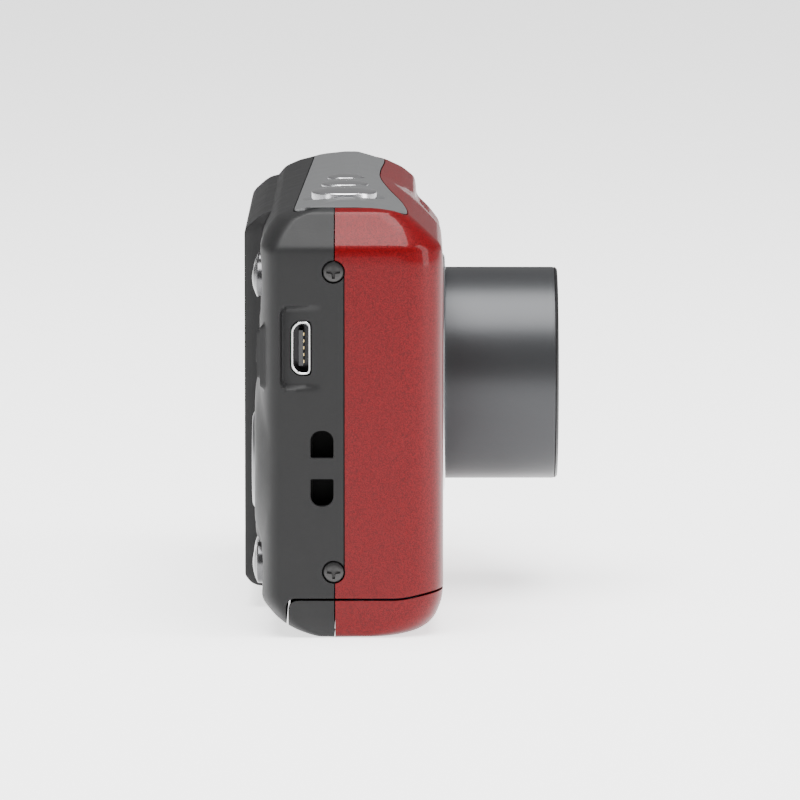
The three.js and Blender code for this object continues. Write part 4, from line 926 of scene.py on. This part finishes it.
# ------------------------------------------------------------------ end screws
# Blackened steel machine screws with a cross recess. Their heads sit flush in the seam at both
# ends, and their shanks hold the two covers to the frame.
screw_black, tree, shader = new_material("blackened_steel", (0.035, 0.034, 0.034), 0.34, 0.7)
grain(tree, shader, 3000.0, 0.1, 0.00001, rough=(0.28, 0.42))
reach = 0.95 * MM
half = 0.23 * MM
core = 0.36 * MM
for end_name, sign in (("grip", -1), ("far", 1)):
    for level in ("low", "top"):
        part = f"side_screw_{end_name}_{level}"
        low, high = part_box(part)
        y = (low.y + high.y) / 2
        z = (low.z + high.z) / 2
        face = low.x if sign < 0 else high.x
        r = (high.y - low.y) / 2
        head = corner_profile([(0, -4.1), (0.8, -4.1), (0.8, -0.85), (r / MM, -0.85), (r / MM, -0.12),
                               (0.95, 0.02), (0, 0.05)], 0.22) * MM
        body = lathe(part, head[:, 0], face + sign * head[:, 1], "x", (0, y, z), 64)
        made = add_piece(part + "_head", body, "body", screw_black, (part,))
        star = [(half, core), (half * 0.8, reach), (-half * 0.8, reach), (-half, core), (-core, half),
                (-reach, half * 0.8), (-reach, -half * 0.8), (-core, -half), (-half, -core),
                (-half * 0.8, -reach), (half * 0.8, -reach), (half, -core), (core, -half),
                (reach, -half * 0.8), (reach, half * 0.8), (core, half)]
        span = sorted((face - sign * 0.75 * MM, face + sign * 1 * MM))
        carve(made, [prism([(y + a, z + b) for a, b in star], "x", *span)])
        sharpen(made, 40)

# ------------------------------------------------------------------ inlet
# The inlet's shell: plated sheet steel folded to six sides round the tongue, soldered to the board
# and open at the grip end. Its edge is bright steel, and its inside is painted dark as painted shade.
bright_steel, tree, shader = new_material("bright_shell", (0.42, 0.42, 0.42), 0.2, 1.0)
place = grain(tree, shader, 700.0, 0.04, 0.00001, rough=(0.14, 0.24))
axes = node(tree, "ShaderNodeSeparateXYZ")
tree.links.new(place.outputs["Object"], axes.inputs["Vector"])
rim = node(tree, "ShaderNodeMapRange", {"From Min": usb_low.x + 0.08 * MM, "From Max": usb_low.x + 0.16 * MM})
tree.links.new(axes.outputs["X"], rim.inputs["Value"])
# Mixes the steel's own bright colour at the rim into near black deeper in: painted shade inside the socket.
rim_and_painted_shade = node(tree, "ShaderNodeMix", data_type="RGBA")
rim_and_painted_shade.inputs["A"].default_value = (0.5, 0.5, 0.5, 1)
rim_and_painted_shade.inputs["B"].default_value = (0.02, 0.02, 0.021, 1)
tree.links.new(rim.outputs["Result"], rim_and_painted_shade.inputs["Factor"])
tree.links.new(rim_and_painted_shade.outputs["Result"], shader.inputs["Base Color"])
outer_loop = inlet_outline(0.0)
inner_loop = inlet_outline(-0.3 * MM)
EDGE_ROUND = 0.07 * MM
layers = [(outer_loop, usb_high.x), (outer_loop, usb_low.x + EDGE_ROUND),
          (inlet_outline(-EDGE_ROUND), usb_low.x), (inlet_outline(-0.23 * MM), usb_low.x),
          (inner_loop, usb_low.x + EDGE_ROUND),
          (inner_loop, usb_high.x - 0.4 * MM)]
loop_y = np.array([loop[:, 0] for loop, _x in layers])
loop_z = np.array([loop[:, 1] for loop, _x in layers])
loop_x = np.array([np.full(len(loop), level) for loop, level in layers])
centre_y = np.full((1, loop_y.shape[1]), loop_y[0].mean())
centre_z = np.full((1, loop_y.shape[1]), loop_z[0].mean())
loop_x = np.concatenate([loop_x[:1], loop_x, loop_x[-1:]])
loop_y = np.concatenate([centre_y, loop_y, centre_y])
loop_z = np.concatenate([centre_z, loop_z, centre_z])
shell_mesh = grid_mesh("inlet_shell", loop_x, loop_y, loop_z, close_u=True)
tidy(shell_mesh)
face_outwards(shell_mesh)
inlet = add_piece("inlet_shell", shell_mesh, "body", bright_steel, ("usb_socket",))
sharpen(inlet, 35)

# ------------------------------------------------------------------ inlet tongue
# Black moulded tongue that stands in the middle of the inlet's shell, with five gold plated
# contacts let into one face.
tongue_black, tree, shader = new_material("tongue_black", (0.018, 0.018, 0.02), 0.38)
grain(tree, shader, 3000.0, 0.1, 0.00001, rough=(0.32, 0.46))
gold, tree, shader = new_material("contact_plating", (0.78, 0.6, 0.28), 0.26, 1.0)
grain(tree, shader, 2000.0, 0.06, 0.00001, rough=(0.2, 0.32))
tongue_low, tongue_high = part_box("usb_tongue")
tongue_mesh = prism(rounded(tongue_low.y, tongue_high.y, tongue_low.z, tongue_high.z, 0.12 * MM, 4), "x",
                    tongue_low.x, tongue_high.x)
tongue = add_piece("inlet_tongue", tongue_mesh, "body", tongue_black, ("usb_tongue",))
tongue_round = tongue.modifiers.new("round", "BEVEL")
tongue_round.width = 0.06 * MM
tongue_round.segments = 2
sharpen(tongue, 50)
contact_mesh = bpy.data.meshes.new("inlet_contacts")
bm = bmesh.new()
CONTACT_PITCH = 0.95 * MM
for k in range(5):
    z = (tongue_low.z + tongue_high.z) / 2 + (k - 2) * CONTACT_PITCH
    bm.from_mesh(prism(rounded(tongue_low.y - 0.09 * MM, tongue_low.y + 0.05 * MM, z - 0.2 * MM, z + 0.2 * MM,
                               0.05 * MM, 3), "x", tongue_low.x + 0.18 * MM, tongue_high.x - 0.3 * MM))
bm.to_mesh(contact_mesh)
bm.free()
contacts = add_piece("inlet_contacts", contact_mesh, "body", gold)
sharpen(contacts, 40)

# ------------------------------------------------------------------ lens barrel
# Turned aluminium tube, satin anodised gunmetal, ending in a black moulded ring; three pins at its
# root run in the cam ring, and it slides back into the body.
gunmetal, tree, shader = new_material("gunmetal_satin", (0.036, 0.0375, 0.04), 0.36, 0.55)
place = node(tree, "ShaderNodeTexCoord")
turned_marks = node(tree, "ShaderNodeMapping")
turned_marks.inputs["Scale"].default_value = (260, 9000, 260)
tree.links.new(place.outputs["Object"], turned_marks.inputs["Vector"])
rings_noise = node(tree, "ShaderNodeTexNoise", {"Scale": 1.0, "Detail": 2.0})
tree.links.new(turned_marks.outputs["Vector"], rings_noise.inputs["Vector"])
rings_bump = node(tree, "ShaderNodeBump", {"Strength": 0.06, "Distance": 0.00001})
tree.links.new(rings_noise.outputs["Fac"], rings_bump.inputs["Height"])
tree.links.new(rings_bump.outputs["Normal"], shader.inputs["Normal"])
satin_black, tree, shader = new_material("satin_black", (0.008, 0.008, 0.0085), 0.4, Specular_IOR_Level=0.35)
grain(tree, shader, 2800.0, 0.12, 0.00001, rough=(0.34, 0.48))

ring_box_low, ring_box_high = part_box("barrel_trim_ring")
cap_low, cap_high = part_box("lens_cap_plate")
BARREL_R = (ring_box_high.x - ring_box_low.x) / 2
SLIDE_R = (cap_high.x - cap_low.x) / 2
BORE_R = SLIDE_R + 0.3 * MM


def ring_piece(name, corners, radius, body, material, nodes=(), steps=160, angle=45):
    """A closed ring turned about the lens axis from its corner points (radius, y)."""
    points = np.asarray(corners, float)
    middle = (points[0] + points[1]) / 2
    loop = np.concatenate([[middle], points[1:], points[:1], [middle]])
    outline = corner_profile(loop, radius, 5)
    mesh = lathe(name, outline[:, 0], outline[:, 1], "y", (LENS_X, 0, LENS_Z), steps)
    made = add_piece(name, mesh, body, material, nodes)
    sharpen(made, angle)
    return made


barrel_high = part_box("outer_barrel")[1]
ring_piece("barrel_tube", [(BORE_R, barrel_high.y), (BORE_R, ring_box_high.y),
                           (BARREL_R - 0.06 * MM, ring_box_high.y),
                           (BARREL_R - 0.02 * MM, ring_box_high.y + 0.3 * MM), (BARREL_R, barrel_high.y)],
           0.08 * MM, "outer_barrel", gunmetal, ("outer_barrel",))
ring_piece("barrel_end_ring", [(BORE_R, ring_box_high.y - 0.02 * MM), (BORE_R, ring_box_low.y + 0.15 * MM),
                               (BORE_R + 0.25 * MM, ring_box_low.y),
                               (BARREL_R - 0.35 * MM, ring_box_low.y),
                               (BARREL_R, ring_box_low.y + 0.35 * MM),
                               (BARREL_R, ring_box_high.y - 0.12 * MM),
                               (BARREL_R - 0.14 * MM, ring_box_high.y - 0.02 * MM)],
           0.12 * MM, "outer_barrel", satin_black, ("barrel_trim_ring",))
pin_mesh = bpy.data.meshes.new("guide_pins")
bm = bmesh.new()
pin_y = barrel_high.y - 1.0 * MM
pin_reach = barrel_high.z - LENS_Z
for turn in (math.pi / 2, math.pi * 7 / 6, math.pi * 11 / 6):
    pin = lathe("pin", np.array([0, 0.55, 0.7, 0.7, 0]) * MM,
                [pin_reach, pin_reach, pin_reach - 0.15 * MM, BARREL_R - 0.3 * MM, BARREL_R - 0.3 * MM], "x",
                (0, 0, 0), 24)
    spin = np.array([[math.cos(turn), 0, -math.sin(turn)], [0, 1, 0], [math.sin(turn), 0, math.cos(turn)]])
    flat = np.zeros(len(pin.vertices) * 3)
    pin.vertices.foreach_get("co", flat)
    placed = flat.reshape(-1, 3) @ spin.T + np.array([LENS_X, pin_y, LENS_Z])
    pin.vertices.foreach_set("co", placed.ravel())
    bm.from_mesh(pin)
bmesh.ops.recalc_face_normals(bm, faces=bm.faces)
bm.to_mesh(pin_mesh)
bm.free()
pins = add_piece("guide_pins", pin_mesh, "outer_barrel", plating)
sharpen(pins, 40)

# ------------------------------------------------------------------ bezel
# Bright plated brass ring, turned and pressed into the front cover round the barrel, which slides
# through it with a thin gap.
bezel_in = BARREL_R + 0.32 * MM
ring_piece("lens_bezel_ring", [(bezel_in, bezel_high.y), (bezel_in, bezel_low.y + 0.5 * MM),
                               (bezel_in + 0.5 * MM, bezel_low.y), (BEZEL_R - 0.7 * MM, bezel_low.y),
                               (BEZEL_R, bezel_low.y + 0.5 * MM), (BEZEL_R, bezel_high.y)],
           0.3 * MM, "body", plating, ("lens_bezel",))

# ------------------------------------------------------------------ lens front
# Black stepped plate pressed on the inner barrel, with a round-cornered window that two blades
# close, and behind it the glass elements, ground and coated.
plate_rings = [(0, cap_low.y + 0.12 * MM), (9.4 * MM, cap_low.y + 0.12 * MM), (9.9 * MM, cap_low.y),
               (10.5 * MM, cap_low.y), (10.7 * MM, cap_low.y + 0.12 * MM), (12.3 * MM, cap_low.y + 0.12 * MM),
               (12.5 * MM, cap_low.y), (SLIDE_R - 0.2 * MM, cap_low.y), (SLIDE_R, cap_low.y + 0.2 * MM),
               (SLIDE_R, cap_high.y), (0, cap_high.y)]
outline = corner_profile(plate_rings, 0.08 * MM, 3)
front_plate = add_piece("lens_front_plate", lathe("front_plate", outline[:, 0], outline[:, 1], "y",
                                                  (LENS_X, 0, LENS_Z), 160),
                        "inner_barrel", satin_black, ("lens_cap_plate",))
APERTURE_W = 13.0 * MM
APERTURE_H = 8.6 * MM
aperture = rounded(LENS_X - APERTURE_W / 2, LENS_X + APERTURE_W / 2, LENS_Z - APERTURE_H / 2,
                   LENS_Z + APERTURE_H / 2, 1.3 * MM)
carve(front_plate, [prism(aperture, "y", cap_low.y - 2 * MM, cap_high.y + 2 * MM)])
sharpen(front_plate, 40)
coated, tree, shader = new_material("coated_glass", (0.5, 0.5, 0.62), 0.02, Transmission_Weight=1.0,
                                    IOR=1.5)
place = node(tree, "ShaderNodeTexCoord")
drift = node(tree, "ShaderNodeTexNoise", {"Scale": 60.0})
tree.links.new(place.outputs["Object"], drift.inputs["Vector"])
tone = node(tree, "ShaderNodeMapRange", {"To Min": 0.015, "To Max": 0.03})
tree.links.new(drift.outputs["Fac"], tone.inputs["Value"])
tree.links.new(tone.outputs["Result"], shader.inputs["Roughness"])
shader.inputs["Coat Weight"].default_value = 0.2
shader.inputs["Coat Tint"].default_value = (0.5, 0.35, 0.95, 1)
for part, body in (("front_lens", "inner_barrel"), ("second_lens", "inner_barrel"),
                   ("focus_lens", "focus_carrier")):
    low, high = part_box(part)
    r = (high.x - low.x) / 2
    rim = (high.y - low.y) * 0.4
    arc = np.linspace(0, 1, 17)
    front_arc = np.stack([r * arc, low.y + (high.y - low.y - rim) * 0.65 * arc ** 2], -1)
    back_arc = np.stack([r * arc[::-1], high.y - (high.y - low.y - rim) * 0.35 * arc[::-1] ** 2], -1)
    outline = np.concatenate([front_arc, back_arc])
    glass = lathe(part, outline[:, 0], outline[:, 1], "y", (LENS_X, 0, LENS_Z), 96)
    element = add_piece(part + "_element", glass, body, coated, (part,))
    sharpen(element, 40)

# ------------------------------------------------------------------ flash and lamp windows
# Clear acrylic mouldings snapped into the front cover from behind: the flash window has fine
# upright ribs that spread the light, and the focus lamp's a shallow dome.
clear, tree, shader = new_material("clear_window", (0.93, 0.94, 0.95), 0.06, Transmission_Weight=1.0,
                                   IOR=1.49)
grain(tree, shader, 1200.0, 0.04, 0.00001, rough=(0.04, 0.09))
cols = np.linspace(0, 1, 131)[None, :]
lines = np.linspace(0, 1, 41)[:, None]
gx = flash_low.x + (flash_high.x - flash_low.x) * cols + 0 * lines
gz = flash_low.z + (flash_high.z - flash_low.z) * lines + 0 * cols
edge = np.minimum(np.minimum(cols, 1 - cols) * (flash_high.x - flash_low.x),
                  np.minimum(lines, 1 - lines) * (flash_high.z - flash_low.z))
RIB_COUNT = 16
ribs = 0.5 - 0.5 * np.cos(2 * math.pi * RIB_COUNT * cols)
gy = flash_low.y + 0.55 * MM * (1 - ease(edge / (1.1 * MM))) + 0.16 * MM * ribs * ease(edge / (1.4 * MM))
flash_mesh = grid_mesh("flash_glass", gx, gy, gz)
flash_pane = add_piece("flash_pane", flash_mesh, "body", clear, ("flash_window",))
thicken(flash_pane, 0.9 * MM)
carve(flash_pane, [prism(rounded(flash_low.x, flash_high.x, flash_low.z, flash_high.z, 1.3 * MM), "y",
                         FRONT_Y - 4 * MM, FRONT_Y + 5 * MM)], "INTERSECT")
sharpen(flash_pane, 50)
lamp = corner_profile([(0, lamp_low.y), (LAMP_R * 0.6, lamp_low.y + 0.06 * MM),
                       (LAMP_R, lamp_low.y + 0.4 * MM), (LAMP_R, lamp_high.y), (0, lamp_high.y)],
                      0.25 * MM)
lamp_mesh = lathe("lamp", lamp[:, 0], lamp[:, 1], "y", (LAMP_X, 0, LAMP_Z), 64)
lamp_pane = add_piece("lamp_pane", lamp_mesh, "body", clear, ("focus_lamp_window",))
sharpen(lamp_pane, 40)

# ------------------------------------------------------------------ display window
# Hard-coated acrylic pane stuck on a ledge in the display block: printed black round its border,
# with the slightly paler screen behind the rest.
pane, tree, shader = new_material("display_pane", (0.006, 0.006, 0.007), 0.09, Specular_IOR_Level=0.22)
place = node(tree, "ShaderNodeTexCoord")
axes = node(tree, "ShaderNodeSeparateXYZ")
tree.links.new(place.outputs["Object"], axes.inputs["Vector"])
inside = None
PANE_BORDER = 3.2 * MM
for axis, start, stop in (("X", window_low.x, window_high.x), ("Z", window_low.z, window_high.z)):
    test = node(tree, "ShaderNodeMath", operation="COMPARE")
    tree.links.new(axes.outputs[axis], test.inputs[0])
    test.inputs[1].default_value = (start + stop) / 2
    test.inputs[2].default_value = (stop - start) / 2 - PANE_BORDER
    if inside is None:
        inside = test
    else:
        both = node(tree, "ShaderNodeMath", operation="MULTIPLY")
        tree.links.new(inside.outputs[0], both.inputs[0])
        tree.links.new(test.outputs[0], both.inputs[1])
        inside = both
shade = node(tree, "ShaderNodeMix", data_type="RGBA")
shade.inputs["A"].default_value = (0.003, 0.003, 0.0035, 1)
shade.inputs["B"].default_value = (0.011, 0.012, 0.014, 1)
tree.links.new(inside.outputs[0], shade.inputs["Factor"])
tree.links.new(shade.outputs["Result"], shader.inputs["Base Color"])
pane_mesh = prism(rounded(window_low.x, window_high.x, window_low.z, window_high.z, 1.5 * MM), "y",
                  window_low.y, window_high.y)
display_pane = add_piece("display_pane", pane_mesh, "body", pane, ("display_window",))
pane_round = display_pane.modifiers.new("round", "BEVEL")
pane_round.width = 0.15 * MM
pane_round.segments = 3
sharpen(display_pane, 50)

# ------------------------------------------------------------------ base fittings
# Brass tripod bush, moulded into the base with its thread, and one blackened cross-recess screw.
# Both sit flush, so the camera stands flat.
THREAD_R = 2.75 * MM
THREAD_DEPTH = 0.22 * MM
THREAD_PITCH = 1.27 * MM
MOUTH_R = 3.25 * MM
thread_z = np.linspace(bush_low.z + 0.5 * MM, bush_high.z, 60)
thread_turn = ((thread_z - bush_low.z) / THREAD_PITCH) % 1
thread_r = THREAD_R + THREAD_DEPTH * np.abs(thread_turn - 0.5) * 2
bush_loop = np.concatenate([
    [(MOUTH_R, bush_low.z), (BUSH_R - 0.2 * MM, bush_low.z), (BUSH_R, bush_low.z + 0.2 * MM),
     (BUSH_R, bush_high.z)],
    np.stack([thread_r, thread_z], -1)[::-1], [(MOUTH_R, bush_low.z)],
])
bush_mesh = lathe("bush", bush_loop[:, 0], bush_loop[:, 1], "z", (BUSH_X, BUSH_Y, 0), 64)
bush = add_piece("tripod_bush_thread", bush_mesh, "body", gold, ("tripod_bush",))
sharpen(bush, 40)
head = corner_profile([(0, base_high.z / MM), (0.7, base_high.z / MM), (0.7, 0.9), (BASE_R / MM, 0.9),
                       (BASE_R / MM, 0.2), (0.8, 0.06), (0, 0.05)], 0.15) * MM
screw_mesh = lathe("base_screw", head[:, 0], head[:, 1], "z", (BASE_X, BASE_Y, 0), 64)
base_screw = add_piece("base_screw_head", screw_mesh, "body", screw_black,
                       ("base_screw_1",))
star = []
for k in range(4):
    cx = math.cos(k * math.pi / 2)
    cy = math.sin(k * math.pi / 2)
    for u, w in ((0.26, -0.17), (0.72, -0.14), (0.72, 0.14), (0.26, 0.17)):
        star.append((BASE_X + (u * cx - w * cy) * MM, BASE_Y + (u * cy + w * cx) * MM))
carve(base_screw, [prism(star, "z", -1 * MM, 0.7 * MM)])
sharpen(base_screw, 40)

# ------------------------------------------------------------------ inner parts
# Everything inside keeps its frame shape: boards, cells, carriers and strips, each in the finish of
# its slot, seen only when the door is open or through the lens and flash windows.
board_green, tree, shader = new_material("board_green", (0.02, 0.16, 0.07), 0.32, Coat_Weight=0.3)
place = node(tree, "ShaderNodeTexCoord")
tracks = node(tree, "ShaderNodeTexBrick", {"Scale": 260.0, "Mortar Size": 0.03})
tracks.inputs["Color1"].default_value = (0.015, 0.13, 0.055, 1)
tracks.inputs["Color2"].default_value = (0.02, 0.17, 0.075, 1)
tracks.inputs["Mortar"].default_value = (0.05, 0.3, 0.14, 1)
tree.links.new(place.outputs["Object"], tracks.inputs["Vector"])
tree.links.new(tracks.outputs["Color"], shader.inputs["Base Color"])
steel, tree, shader = new_material("stamped_steel", (0.56, 0.57, 0.58), 0.3, 1.0)
grain(tree, shader, 1400.0, 0.08, 0.00001, rough=(0.24, 0.38))
wrap, tree, shader = new_material("cell_wrap", (0.03, 0.05, 0.12), 0.28, 0.1, Coat_Weight=0.5)
grain(tree, shader, 500.0, 0.03, 0.00001, rough=(0.22, 0.32))
dark_glass, tree, shader = new_material("dark_glass", (0.012, 0.013, 0.016), 0.07, Coat_Weight=0.4)
grain(tree, shader, 400.0, 0.02, 0.00001, rough=(0.05, 0.1))
SLOT_FINISH = {
    "red_paint": red_paint, "charcoal_plastic": charcoal, "top_metal": top_satin, "barrel_metal": gunmetal,
    "key_chrome": plating, "black_plastic": satin_black, "clear_glass": clear, "dark_glass": dark_glass,
    "green_board": board_green, "bare_steel": steel, "contact_brass": gold, "cell_wrap": wrap,
}
for entry in frame["record"]["subparts"]:
    kept = frame["nodes"][entry["node"]]
    kept.data.materials.clear()
    kept.data.materials.append(SLOT_FINISH[entry["material_slot"]])
# Unlike the other inner parts, the strap pocket is painted near black: painted shade inside the eyelet holes.
pocket_painted_shade, tree, shader = new_material("pocket_painted_shade", (0.0015, 0.0015, 0.0015), 0.7, Specular_IOR_Level=0.1)
grain(tree, shader, 2000.0, 0.05, 0.00001, rough=(0.65, 0.8))
frame["nodes"]["strap_pocket"].data.materials[0] = pocket_painted_shade

# ------------------------------------------------------------------ studio
# Plain white floor, a large soft light overhead, and a tall soft strip on the lens side and on
# the display side.
floor_mesh = bpy.data.meshes.new("floor")
floor_mesh.from_pydata([(-3, -3, 0), (3, -3, 0), (3, 3, 0), (-3, 3, 0)], [], [(0, 1, 2, 3)])
floor = bpy.data.objects.new("floor", floor_mesh)
bpy.context.collection.objects.link(floor)
floor_paint, tree, shader = new_material("floor_white", (0.94, 0.94, 0.94), 0.7, Emission_Strength=1.7)
shader.inputs["Emission Color"].default_value = (1, 1, 1, 1)
floor_mesh.materials.append(floor_paint)


def softbox(name, size_x, size_y, power, place, aim):
    """A rectangular area light at a place, aimed at a point."""
    light = bpy.data.lights.new(name, "AREA")
    light.shape = "RECTANGLE"
    light.size = size_x
    light.size_y = size_y
    light.energy = power
    obj = bpy.data.objects.new(name, light)
    bpy.context.collection.objects.link(obj)
    obj.location = place
    direction = np.array(aim) - np.array(place)
    obj.rotation_euler = Vector(direction).to_track_quat("-Z", "Y").to_euler()
    return obj


softbox("overhead", 0.7, 0.7, 20, (-0.15, 0.0, 0.8), (0, 0, 0.03))
softbox("front_strip", 0.3, 0.9, 6.0, (-0.2, -0.8, 0.35), (0, 0, 0.03))
softbox("rear_strip", 0.3, 0.9, 2.5, (-0.5, 0.8, 0.4), (0, 0, 0.03))
world = bpy.data.worlds.new("studio")
world.use_nodes = True
world.node_tree.nodes["Background"].inputs["Color"].default_value = (1, 1, 1, 1)
world.node_tree.nodes["Background"].inputs["Strength"].default_value = 0.3
bpy.context.scene.world = world
